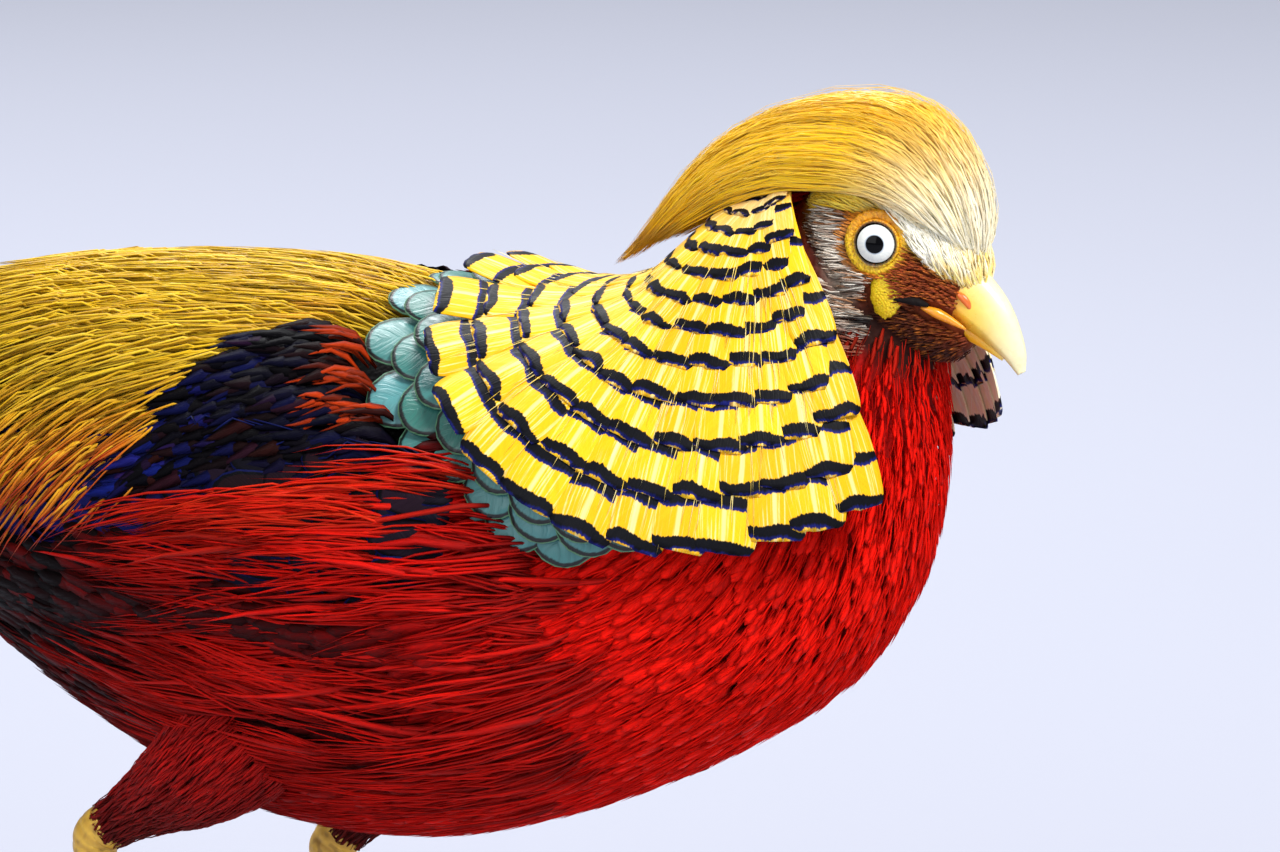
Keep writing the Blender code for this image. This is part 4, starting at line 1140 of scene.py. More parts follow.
def trunk_colour(points: Array) -> Array:
    """The plumage's ground colour anywhere on the trunk, with painted shade that darkens the red towards the rear."""
    x, _, z = points.T
    gold = linear(222, 172, 12)
    red, deep = linear(226, 15, 6), linear(124, 6, 4)
    dark, buff = linear(8, 2, 3), linear(150, 96, 52)
    above = ease(z - height_at(GOLD_ENDS, x), -2, 4) * ease(x, 12, 0)
    below = ease(height_at(RED_BEGINS, x) - z, -2, 4)
    # The red darkens from the front of the breast towards the rear: painted shade.
    found = blend(dark, blend(red, deep, ease(x, 40, -70)), below)
    rear = ease(x, -40, -84) * ease(z, 112, 130) * (1 - above)
    gaps = ease(x, 36, -12) * ease(z, 104, 124)
    found = blend(found, dark, np.maximum(rear, gaps * 0.93))
    found = blend(found, buff, ease(x, -122, -140) * ease(z, 150, 125) * 0.5)
    found = blend(found, linear(176, 66, 22), ease(x, -150, -172) * (1 - above) * 0.9)
    f, _, up = from_head(points).T
    found = blend(found, linear(112, 30, 12), ease(up - 0.12 * f, -21, -16) * ease(f, -30, -20) * ease(x, -8, 16))
    return blend(found, gold, above)


def head_colour(points: Array) -> Array:
    """The ground colour anywhere on the head: crown, face, ear and throat."""
    f, out, up = from_head(points).T
    out = np.abs(out)
    gold, rust, umber = linear(255, 224, 90), linear(150, 62, 22), linear(66, 24, 14)
    black, silver, red = linear(26, 12, 8), linear(206, 194, 176), linear(186, 14, 8)
    found = blend(rust, umber, ease(up, -5, -12))
    found = blend(found, black, np.exp(-(((f - 8) / 6) ** 2 + ((up + 6.5) / 2.6) ** 2)) * 0.9)
    found = blend(found, silver, ease(f, 1, -5) * ease(up, 8, 3) * ease(up, -15, -9) * 0.9)
    found = blend(found, black, np.exp(-(((f - 4.0) / 2.6) ** 2 + ((up + 12.8) / 2.2) ** 2)))
    found = blend(found, red, ease(up + 0.25 * f, -15, -19))
    found = blend(found, linear(240, 150, 20), ease(from_eye(points), 9.5, 7.0) * ease(out, 8, 11) * 0.8)
    return blend(found, gold, ease(up - height_at(CROWN_EDGE, f), -1.0, 1.5))


@dataclass
class Fan:
    """The lines along which the cape opens from the nape over neck and shoulders."""

    surface: Surface
    start: tuple = (70.0, 0.0, 256.0)
    widest: int = 126
    run: float = 150.0
    marks: int = 76
    # Hem, in mm, by turn: it opens further on the left, because the head looks to the right
    reaches: tuple = (
        (-126, 60), (-94, 75), (-80, 84), (-60, 91), (-40, 97), (-15, 100), (0, 98), (30, 92), (60, 88), (78, 77),
        (116, 70), (126, 64),
    )
    ends: tuple = (-84.0, 104.0)

    def __post_init__(self) -> None:
        """Walks every line once."""
        self.turns = np.arange(-self.widest, self.widest + 1, 2.0)
        angle = np.radians(self.turns)
        headings = np.stack([-np.cos(angle), np.sin(angle), angle * 0], -1)
        starts = np.repeat([self.start], len(angle), axis=0)
        self.lines = self.surface.march(starts, headings, self.run, self.marks)

    def whereabouts(self, points: Array) -> tuple[Array, Array]:
        """Roughly on which line of the fan places lie, and how far along it."""
        gap = points - self.start
        turn = np.degrees(np.arctan2(gap[:, 1], -gap[:, 0] - gap[:, 2] * 0.15))
        return turn, np.linalg.norm(gap, axis=1) * 1.04

    def reach(self, turns: Array) -> Array:
        """Length of the cape along lines of the fan."""
        rows = np.array(self.reaches, float)
        return np.interp(turns, rows[:, 0], rows[:, 1])

    def lie(self, turns: Array, first: Array, last: Array, count: int = 8) -> Lie:
        """Ways along the fan between two distances from the nape."""
        share = np.linspace(0, 1, count)
        far = np.clip((first[:, None] * (1 - share) + last[:, None] * share) / self.run, 0, 1) * (self.marks - 1)
        line = np.clip((turns + self.widest) / 2, 0, len(self.turns) - 1.001)[:, None]
        i, j = line.astype(int), np.minimum(far.astype(int), self.marks - 2)
        s, t = (line - i)[..., None], (far - j)[..., None]
        found = []
        for k in (self.lines.places, self.lines.normals, self.lines.headings):
            low = k[i, j] * (1 - t) + k[i, j + 1] * t
            high = k[i + 1, j] * (1 - t) + k[i + 1, j + 1] * t
            found.append(low * (1 - s) + high * s)
        patches = np.stack([0.5 + turns / 260, last / 160], -1)
        return Lie(found[0], unit(found[1]), unit(found[2]), patches)


@dataclass
class Bird:
    """What every sub-assembly works with."""

    shop: Workshop
    form: Form = field(default_factory=Form)

    def __post_init__(self) -> None:
        """Builds the surfaces that feathers lie on."""
        self.trunk = Surface(self.form.trunk_grid(181, 96, rump=True))
        self.head = Surface(self.form.head_grid(65, 72))
        self.fan = Fan(self.trunk)

    def chance(self, seed: int) -> np.random.Generator:
        """A source of chance of a piece's own."""
        return np.random.default_rng(seed)

    def under_cape(self, points: Array) -> Array:
        """How far places lie under the cape: 1 well inside its hem, 0 outside it."""
        turn, away = self.fan.whereabouts(points)
        first, last = self.fan.ends
        inside = ease(turn, first - 4, first + 12) * ease(turn, last + 6, last - 8)
        return ease(self.fan.reach(turn) - 14 - away, 0, 6) * inside


def shade(colours: Array, rough: np.random.Generator, spread: float) -> Array:
    """Colours with a little chance in their brightness."""
    return colours * (1 + spread * (rough.random((len(colours), 1)) * 2 - 1))


def over_wing(points: Array) -> Array:
    """How much a place lies over the folded wing, from 0 to 1."""
    x, _, z = points.T
    return ease(x, 24, 4) * ease(x, -150, -120) * ease(z, 142, 158) * ease(z, 222, 208)


@dataclass
class Skin:
    """One unbroken skin for trunk, neck, head, thighs and the crest's core."""

    depth: float = 2.6
    voxel: float = 1.7

    def build(self, bird: Bird, legs: Sequence["Leg"], crest: "Crest") -> None:
        """Joins the lofts and makes one surface of them."""
        grids = [
            bird.form.trunk_grid(60, 56, -self.depth),
            bird.form.head_grid(30, 40, -0.9),
            crest.core(),
            *(leg.thigh_rings(-2.0) for leg in legs),
        ]

        def marks(points: Array) -> Array:
            """The plumage's colours over the whole skin, dimmed as painted shade under the feathers, less so under
            the gold.
            """
            f, _, up = from_head(points).T
            on_head = ease(f * 0.6 + up * 0.8, -14, -9) * ease(f, -30, -22)
            crest_part = ease(f, -16, -24) * ease(up + f * 0.55, -16, -10)
            found = blend(trunk_colour(points), head_colour(points), on_head)
            found = blend(found, linear(236, 176, 14), crest_part)
            legs_part = ease(points[:, 2], 108, 84) * ease(points[:, 0], -20, -34)
            golden = ease(points[:, 2] - height_at(GOLD_ENDS, points[:, 0]), 0, 8) * ease(points[:, 0], 12, 0)
            # The skin is dimmed to 0.6, and to 0.85 under the golden back, as painted shade beneath the feathers.
            return blend(found, linear(92, 16, 12), legs_part) * mix(0.6, 0.85, golden)[:, None]

        nodes = ("torso", "neck", "head", "thigh_left", "thigh_right")
        bird.shop.finish("skin", one_surface(grids, self.voxel), UNDERCOAT, "body_plumage", nodes, marks)


@dataclass
class Breast:
    """The red plumage of throat, breast, belly and flanks."""

    spacing: float = 3.1
    length: float = 12.5
    half: float = 2.0
    hair_spacing: float = 2.1

    def build(self, bird: Bird) -> None:
        """Lays small leaf feathers, then fine hair-like tips over them."""
        rough = bird.chance(11)
        starts, headings = bird.trunk.scatter(self.spacing, rough)
        keep = self.red(bird, starts)
        starts, headings = starts[keep], headings[keep]
        for name, part in (("breast_coat_right", starts[:, 1] < 0), ("breast_coat_left", starts[:, 1] >= 0)):
            coat = Coat(name, rough)
            self.lay(bird, coat, starts[part], headings[part], LEAF, rough, self.half, self.length)
            coat.build(bird.shop, BREAST, "body_plumage", ("torso",))
        starts, headings = bird.trunk.scatter(self.hair_spacing, rough)
        x, _, z = starts.T
        flank = ease(x, 26, -6) * ease(z, 108, 124) * (1 - ease(z, 196, 206))
        keep = self.red(bird, starts) & (rough.random(len(x)) > flank * 0.92)
        starts, headings = starts[keep], headings[keep]
        for name, part in (("breast_hair_right", starts[:, 1] < 0), ("breast_hair_left", starts[:, 1] >= 0)):
            coat = Coat(name, rough)
            self.lay(bird, coat, starts[part], headings[part], STRAND, rough, 0.36, self.length * 1.3, 0.5)
            coat.build(bird.shop, BREAST, "body_plumage", ("torso", "neck"))

    def red(self, bird: Bird, points: Array) -> Array:
        """Which places are red and open to view."""
        x, _, z = points.T
        f, _, up = from_head(points).T
        face = (f > -24) & (up > -11.5)
        return (z < height_at(RED_BEGINS, x) + 4) & (bird.under_cape(points) < 0.5) & (x > -228) & ~face

    def lay(
        self, bird: Bird, coat: Coat, starts: Array, headings: Array, quill: Quill,
        rough: np.random.Generator, half: float, length: float, proud: float = 0.0,
    ) -> None:
        """Lays feathers of one kind from the throat down and back.

        Args:
            bird: The bird.
            coat: Takes the feathers.
            starts: Their roots.
            headings: The ways that they set out on.
            quill: Their kind.
            rough: The source of chance.
            half: Half width in mm.
            length: Length in mm.
            proud: How much higher they lie than the others.
        """
        x, _, z = starts.T
        count = len(starts)
        headings = unit(headings + 0.13 * (rough.random((count, 3)) - 0.5))
        reach = length * (0.8 + 0.4 * rough.random(count))
        reach = reach * mix(0.7, 1.15, ease(x, 105, 10)) * mix(1.0, 0.75, ease(z, 190, 215))
        lie = bird.trunk.march(starts, headings, reach, 3)
        marks = quill.stops
        base = 5.6 * over_wing(lie.places[:, 1])[:, None] - 1.2 * (1 - ease(marks, 0, 0.3))
        tips = (0.5 + 1.3 * rough.random((count, 1))) * marks
        colours = shade(trunk_colour(starts), rough, 0.24)
        # Brighter red at the front of the upper breast: painted light.
        colours = blend(colours, linear(252, 24, 8), ease(x, 30, 70) * ease(z, 232, 214) * 0.8)
        dull = blend(colours, linear(130, 6, 6), rough.random(count) ** 3 * 0.5)
        tint = np.stack([dull * mix(0.85, 1.06, m) for m in marks], 1)
        size = mix(0.6, 1.1, ease(x, 108, 40)) * mix(1.0, 0.5, ease(z, 188, 212))
        coat.add(quill, lie, half * size, 0.35, base + tips + proud, tint, 0.5 if quill is STRAND else 0.0)


@dataclass
class Flanks:
    """Long pointed red feathers that sweep back over the dark wing and flank, in clumps."""

    clumps: int = 112
    strands: int = 11
    locks: int = 90

    def build(self, bird: Bird) -> None:
        """Lays the locks and the loose barbs between them."""
        rough = bird.chance(23)
        for side in Side:
            coat = Coat("flank_locks_" + side.word, rough)
            self.lay(bird, coat, side, self.locks, 1, LANCE, (0.7, 1.4), (34, 60), rough)
            self.lay(bird, coat, side, self.clumps, self.strands, LONG_STRAND, (0.26, 0.48), (36, 70), rough)
            coat.build(bird.shop, LONG_RED, "body_plumage", ("torso",))

    def lay(
        self, bird: Bird, coat: Coat, side: Side, clumps: int, strands: int, quill: Quill,
        halves: tuple[float, float], lengths: tuple[float, float], rough: np.random.Generator,
    ) -> None:
        """Lays one kind of the flank's feathers on one side.

        Args:
            bird: The bird.
            coat: Takes the feathers.
            side: Its side.
            clumps: How many clumps.
            strands: How many in each; they meet at the clump's tip.
            quill: Their kind.
            halves: Least and largest half width in mm.
            lengths: Least and largest length in mm.
            rough: The source of chance.
        """
        share = np.repeat(rough.random(clumps) ** 1.3, strands)
        x = 52 - mix(88, 128, share) * np.repeat(rough.random(clumps) ** 0.85, strands)
        count = len(x)
        top = height_at(RED_BEGINS, x)
        z = mix(top - 1, 106 + 0.12 * np.abs(x), share)
        front = ease(x, 10, 50)
        aside = (np.tile(np.arange(strands), clumps) - (strands - 1) / 2) * 0.62
        long = np.repeat(mix(lengths[0], lengths[1], rough.random(clumps)), strands)
        swing = np.repeat(rough.random(clumps) - 0.5, strands)
        down = mix(0.0, -0.2, share) + 0.34 * front + 0.5 * swing * mix(0.35, 1, ease(share, 0, 0.3))
        headings = np.stack([-np.ones(count), 0 * x, -(down + aside / long * 1.1)], -1)
        reach = long * mix(0.62, 1.0, rough.random(count) ** 0.6) - np.abs(aside) * 1.5
        spare = 5 * (rough.random(count) - 0.5) * (strands > 1)
        starts = bird.form.beside(side.value, x + spare, z + aside)
        bend = np.stack([0 * x, 0 * x, 0.008 * swing - mix(0.0045, 0.003, share)], -1)
        lie = bird.trunk.march(starts, headings, reach, 6, bend)
        turn, far = bird.fan.whereabouts(starts)
        keep = far > bird.fan.reach(turn) + mix(13, 4, ease(np.abs(turn), 18, 42))
        lie, share = lie.some(keep), share[keep]
        count = int(keep.sum())
        marks = quill.stops
        over = over_wing(lie.places[:, 2])[:, None] * ease(lie.places[:, 2, 2], 150, 172)[:, None]
        layer = np.repeat(1.8 + 2.6 * rough.random(clumps), strands)[keep, None] + 0.6 * rough.random((count, 1))
        lift = mix(0.2, 1.0, ease(marks, 0, 0.25)) * (layer + 7.0 * over)
        lift = lift + marks**2 * 1.2 * rough.random((count, 1))
        half = mix(halves[0], halves[1], rough.random(count))
        red, deep = linear(216, 16, 4), linear(112, 4, 3)
        colours = blend(red, deep, rough.random(count) ** 1.8 * 0.85)
        colours = blend(colours, linear(232, 62, 22), ease(share, 0.25, 0.0) * rough.random(count) * 0.6)
        # The locks darken towards the rear: painted shade.
        colours = colours * mix(1.0, 0.5, ease(lie.places[:, 0, 0], 0, -84))[:, None]
        tint = np.stack([colours * mix(0.55, 1.1, ease(m, 0.0, 0.5)) for m in marks], 1)
        coat.add(quill, lie, half, 0.35, lift, tint, 1.1)


@dataclass
class Back:
    """The golden hair-like plumage of back and rump, which falls over the wings behind."""

    spacing: float = 1.72

    def build(self, bird: Bird) -> None:
        """Lays the strands of each side."""
        rough = bird.chance(31)
        starts, headings = bird.trunk.scatter(self.spacing, rough)
        x, _, z = starts.T
        keep = (x < 4) & (z > height_at(GOLD_ENDS, x) + 1) & (z > 158)
        starts, headings = starts[keep], headings[keep]
        for side in Side:
            part = starts[:, 1] * side.value >= 0
            coat = Coat("back_gold_" + side.word, rough)
            self.lay(bird, coat, starts[part], side, rough)
            coat.build(bird.shop, GOLD_HAIR, "body_plumage", ("torso",))

    def lay(self, bird: Bird, coat: Coat, starts: Array, side: Side, rough: np.random.Generator) -> None:
        """Lays one side's strands, combed back and steeper down towards the wing."""
        x, _, z = starts.T
        count = len(starts)
        lower = ease(z, 222, 186)
        rear = ease(x, -10, -90)
        down = 0.06 + 0.75 * lower * mix(0.55, 1.0, rear) + 0.14 * (rough.random(count) - 0.5)
        headings = np.stack([-np.ones(count), side.value * (0.05 + 0.35 * lower), -down], -1)
        reach = mix(20, 32, rough.random(count)) * mix(1.0, 1.25, rear)
        lie = bird.trunk.march(starts, headings, reach, 4)
        tip = lie.places[:, -1]
        spare = tip[:, 2] - height_at(GOLD_ENDS, tip[:, 0]) + 9 * rough.random(count) ** 2
        keep = spare > 0
        lie, count = lie.some(keep), int(keep.sum())
        marks = LONG_STRAND.stops
        over = over_wing(lie.places[:, 2])[:, None]
        layer = 0.8 + 3.4 * rough.random((count, 1)) + 5.2 * over
        lift = mix(-0.6, layer, ease(marks, 0, 0.3)) + 0.8 * marks
        tip = lie.places[:, -1]
        low = ease(tip[:, 2] - height_at(GOLD_ENDS, tip[:, 0]), 26, 5) * ease(tip[:, 0], -40, -62)
        gold, olive = linear(222, 180, 10), linear(180, 132, 8)
        bright, orange = linear(240, 206, 50), linear(216, 70, 4)
        colours = blend(gold, olive, rough.random(count) * 0.9)
        colours = blend(colours, bright, rough.random(count) ** 3 * 0.8)
        tinge = linear(168, 16, 4)
        tint = np.stack([
            blend(colours, blend(orange, tinge, ease(m, 0.5, 1)), low * ease(m, 0.1, 0.85))
            * mix(0.8, 1.05, ease(m, 0, 0.4)) for m in marks
        ], 1)
        coat.add(LONG_STRAND, lie, mix(0.3, 0.5, rough.random(count)), 0.3, lift, tint, 0.9)


@dataclass
class Cape:
    """The barred cape: square feathers in overlapping tiers along the fan's lines."""

    # Where each tier's tips lie, in shares of the hem's distance
    tiers: tuple = (1.0, 0.885, 0.775, 0.67, 0.575, 0.485, 0.405, 0.335, 0.27, 0.21, 0.155)
    length: float = 28.0
    first: float = 11.0
    pitch: tuple = (5.5, 12.0)
    lifts: tuple = (1.5, 12.0)

    def lift_at(self, far: Array, reach: Array) -> Array:
        """How far the cape's outside stands off the trunk at distances from the nape."""
        return mix(*self.lifts, np.clip(far / reach, 0, 1.1) ** 0.6)

    def build(self, bird: Bird) -> None:
        """Lays the tiers from the nape to the hem."""
        rough = bird.chance(41)
        fan = bird.fan
        columns = 9
        quill = Quill(
            (0, 0.12, 0.3, 0.48, 0.64, 0.78, 0.89, 0.96, 1.0), (0.5, 0.72, 0.9, 1.0, 1.04, 1.04, 1.0, 0.93, 0.8),
            flat_section(columns), 0.13, False,
        )
        marks = quill.stops
        coat = Coat("cape_feathers", rough)
        for tier, place in enumerate(self.tiers):
            middle = fan.reach(np.array([-45.0]))[0] * place
            pitch = mix(*self.pitch, place)
            turn_step = math.degrees(pitch / max(middle, 16))
            first_turn, last_turn = fan.ends
            count = int((last_turn - first_turn) / turn_step) + 1
            turns = first_turn + (np.arange(count) + (0.25 if tier % 2 else -0.25)) * turn_step
            turns = turns + turn_step * 0.16 * (rough.random(count) - 0.5)
            reach = fan.reach(turns)
            tips = reach * place + 0.8 * (rough.random(count) - 0.5)
            keep = (tips > self.first) & (turns < last_turn + 2)
            turns, reach, tips = turns[keep], reach[keep], tips[keep]
            count = len(turns)
            if not count:
                continue
            roots = np.maximum(tips - self.length, 1.0)
            lie = fan.lie(turns, roots, tips)
            far = roots[:, None] + (tips - roots)[:, None] * marks
            lift = self.lift_at(far, reach[:, None]) - 1.3 + marks * 2.0 + 0.3 * rough.random((count, 1)) * marks
            side = ease(np.abs(turns), 56, 80)
            local = tips * math.radians(turn_step)
            gold, deep = linear(250, 200, 26), linear(240, 172, 10)
            colours = blend(gold, deep, rough.random(count) * 0.8)
            colours = blend(colours, linear(255, 246, 215), side * (turns > 0))
            colours = blend(colours, linear(252, 240, 190), ease(tips, 26, 12) * 0.5)
            comb = 0.9 * (rough.random((count, columns)) - 0.6)
            fray = np.concatenate([comb, comb[:, ::-1]], 1)
            coat.add(quill, lie, 0.66 * local + 0.4, 0.34, lift, shade(colours, rough, 0.06), 0.0, fray, 0.02)
        coat.build(bird.shop, CAPE, "cape_plumage", ("neck",))
        self.shafts(bird, rough)

    def shafts(self, bird: Bird, rough: np.random.Generator) -> None:
        """Pale loose barbs along the cape's front edge and over its feathers."""
        fan, count = bird.fan, 600
        coat = Coat("cape_barbs", rough)
        turns = mix(*fan.ends, rough.random(count))
        reach = fan.reach(turns)
        tips = reach * mix(0.35, 1.0, rough.random(count)) + 1.5
        lie = fan.lie(turns, np.maximum(tips - 14, 2), tips)
        marks = LONG_STRAND.stops
        far = (tips - 14)[:, None] + 14 * marks
        lift = self.lift_at(far, reach[:, None]) + 0.9 + 0.8 * marks
        colours = blend(linear(252, 206, 40), linear(255, 240, 170), rough.random(count))
        coat.add(LONG_STRAND, lie, 0.14, 0.14, lift, colours, 0.3)
        coat.build(bird.shop, SILK, "cape_plumage", ("neck",))


@dataclass
class Mantle:
    """Rows of round green scales that come out from under the cape."""

    # Past the hem, widest turn, lift
    rows: tuple = ((16, 40, 2.4), (9.5, 45, 4.2), (3.5, 50, 6.0))
    length: float = 26.0
    pitch: float = 12.0

    def build(self, bird: Bird) -> None:
        """Lays the rows, the furthest one first."""
        rough = bird.chance(43)
        quill = Quill(
            (0, 0.2, 0.42, 0.62, 0.78, 0.89, 0.96, 1.0), (0.5, 0.8, 1.0, 1.06, 0.98, 0.78, 0.52, 0.2),
            flat_section(7), 0.14, False,
        )
        marks = quill.stops
        coat = Coat("mantle_scales", rough)
        for past, widest, height in self.rows:
            step = math.degrees(self.pitch / 108)
            turns = np.arange(-widest, widest + 0.1, step) + (past % 2) * step / 4
            turns = turns + step * 0.12 * (rough.random(len(turns)) - 0.5)
            tips = bird.fan.reach(turns) + past * mix(1, 0.45, np.clip(np.abs(turns) / 45, 0, 1) ** 2)
            tips = tips + 1.6 * (rough.random(len(turns)) - 0.5)
            lie = bird.fan.lie(turns, tips - self.length, tips)
            lift = height - 1.2 + 2.6 * marks[None] + 0.6 * rough.random((len(turns), 1)) * marks
            teal, green = linear(84, 146, 150), linear(46, 112, 100)
            colours = blend(teal, green, rough.random(len(turns)))
            coat.add(quill, lie, self.pitch * 0.72, 0.34, lift, colours, patch=0.02)
        coat.build(bird.shop, MANTLE, "body_plumage", ("torso",))


@dataclass
class Wing:
    """A folded wing: its base and its feathers in tiers, near black with blue edges."""

    side: Side
    # Distance back, upper edge, lower edge, thickness
    outline: tuple = (
        (14, 196, 172, 3),
        (4, 208, 156, 7),
        (-20, 212, 150, 9),
        (-55, 213, 152, 8),
        (-90, 209, 158, 6),
        (-120, 203, 166, 4),
        (-150, 196, 174, 2.5),
        (-172, 190, 181, 1.5),
    )
    # First and last root x, rows, feathers in a row, length, half width, height
    tiers: tuple = (
        (-100, -84, 2, 7, 68, 4.6, 0.2),
        (-74, -50, 3, 8, 52, 5.4, 0.5),
        (-46, -24, 4, 8, 26, 6.0, 0.9),
        (-20, 10, 5, 8, 17, 5.2, 1.2),
    )

    def base(self, bird: Bird, sections: int = 40, columns: int = 12) -> Array:
        """Closed rings round the wing's body, from the shoulder back."""
        rows = curve(self.outline, np.linspace(0, len(self.outline) - 1, sections))
        share = np.linspace(0, 1, columns)
        high, low, x = rows[:, 1:2], rows[:, 2:3], np.repeat(rows[:, :1], columns, axis=1)
        z = high + (low - high) * share
        points = np.stack([x, np.full(x.shape, self.side.value * 80.0), z], -1).reshape(-1, 3)
        places, normals, _ = bird.trunk.near(points)
        bulge = np.sin(math.pi * (0.1 + 0.8 * share)) ** 0.5 * (1 - 0.72 * ease(share, 0.5, 0.95))
        lift = (1.3 + rows[:, 3:4] * 0.76 * bulge).reshape(-1, 1)
        top = (places + normals * lift).reshape(sections, columns, 3)
        bottom = (places + normals * 0.4).reshape(sections, columns, 3)
        return np.concatenate([top, bottom[:, ::-1]], 1)

    def build(self, bird: Bird) -> None:
        """Makes the base and lays the tiers on it, the rear ones first."""
        rough = bird.chance(51 + self.side.value)
        rings = self.base(bird)
        node = "wing_" + self.side.word
        dark = linear(16, 12, 16)
        bird.shop.solid(
            "wing_base_" + self.side.word, loft(rings), UNDERCOAT, "wing_plumage", (node,), dark,
        )
        surface = Surface(rings)
        quill = Quill(
            (0, 0.1, 0.3, 0.55, 0.76, 0.9, 1.0), (0.5, 0.85, 1.0, 1.0, 0.92, 0.66, 0.22), flat_section(7), 0.1, False
        )
        marks = quill.stops
        coat = Coat("wing_feathers_" + self.side.word, rough)
        for first, last, rows, across, length, half, height in self.tiers:
            for row, x in enumerate(np.linspace(first, last, rows)):
                share = (np.arange(across) + (0.5 if row % 2 else 0.25)) / across
                share = share + 0.04 * (rough.random(across) - 0.5)
                edges = np.array([height_at([(r[0], r[k]) for r in self.outline[::-1]], x) for k in (1, 2)])
                z = edges[0] + (edges[1] - edges[0]) * share
                start = bird.form.beside(self.side.value, np.full(across, x), z, 9.0)
                ahead = np.stack([-np.ones(across), 0 * z, mix(-0.02, 0.16, share)], -1)
                reach = length * (0.92 + 0.16 * rough.random(across))
                lie = surface.march(start, ahead, reach, 6)
                lift = height + row * 0.15 - 0.5 + marks[None] * 1.4 + 0.4 * rough.random((across, 1)) * marks
                dark, brown = linear(9, 8, 14), linear(34, 14, 10)
                blue = linear(16, 30, 120)
                colours = blend(dark, brown, rough.random(across) ** 2 * 0.7)
                royal = np.exp(-(((x + 62) / 20) ** 2)) * ease(share, 0.2, 0.8)
                colours = blend(colours, blue, np.clip(royal * 0.8 + 0.06 * rough.random(across), 0, 0.8))
                coat.add(quill, lie, half, 0.3, lift, colours, patch=0.02)
        coat.build(bird.shop, WING, "wing_plumage", (node,))
        self.scapulars(bird, rough)

    def scapulars(self, bird: Bird, rough: np.random.Generator) -> None:
        """Dark feathers between back and wing, and a rust-red patch of them behind the mantle."""
        coat = Coat("scapulars_" + self.side.word, rough)
        marks = LANCE.stops
        for count, ends, half, reds in ((760, (12, -68), 2.0, 0.0), (190, (2, -26), 1.0, 1.0)):
            x = mix(*ends, rough.random(count))
            top = height_at(GOLD_ENDS, x) + 3
            low = np.minimum(mix(188, 200, reds), top - 6)
            z = mix(top, low, rough.random(count))
            start = bird.form.beside(self.side.value, x, z)
            heading = np.stack([-np.ones(count), 0 * x, -0.15 - 0.45 * rough.random(count)], -1)
            lie = bird.trunk.march(start, heading, mix(11, 20, rough.random(count)) * mix(1, 0.8, reds), 4)
            turn, far = bird.fan.whereabouts(start)
            keep = far > bird.fan.reach(turn) + mix(16, 12, reds)
            lie, count = lie.some(keep), int(keep.sum())
            over = ease(lie.places[:, 2, 2], 224, 211)[:, None]
            lift = 0.5 + (1.2 + 2.0 * rough.random((count, 1)) + 6.0 * over + 0.4 * reds) * ease(marks, 0, 0.3)
            dark, rust = linear(5, 4, 7), linear(176, 52, 12)
            blue = rough.random(count) ** 4 * mix(0.2, 1.0, ease(lie.places[:, 0, 0], -34, -58))
            colours = blend(dark, linear(14, 26, 104), blue)
            colours = blend(colours, linear(54, 16, 8), rough.random(count) ** 6 * 0.5)
            colours = blend(colours, blend(rust, dark, rough.random(count) ** 1.6), reds)
            coat.add(LANCE, lie, half * mix(0.7, 1.2, rough.random(count)), 0.3, lift, colours, 0.6)
        coat.build(bird.shop, SCAPULAR, "wing_plumage", ("wing_" + self.side.word,))


def way_of(places: Array, normals: Array, patches: Array) -> Lie:
    """Feather ways given by their places, with headings along them."""
    headings = unit(np.gradient(places, axis=1))
    normals = unit(normals - headings * dot(normals, headings))
    return Lie(places, normals, headings, patches)


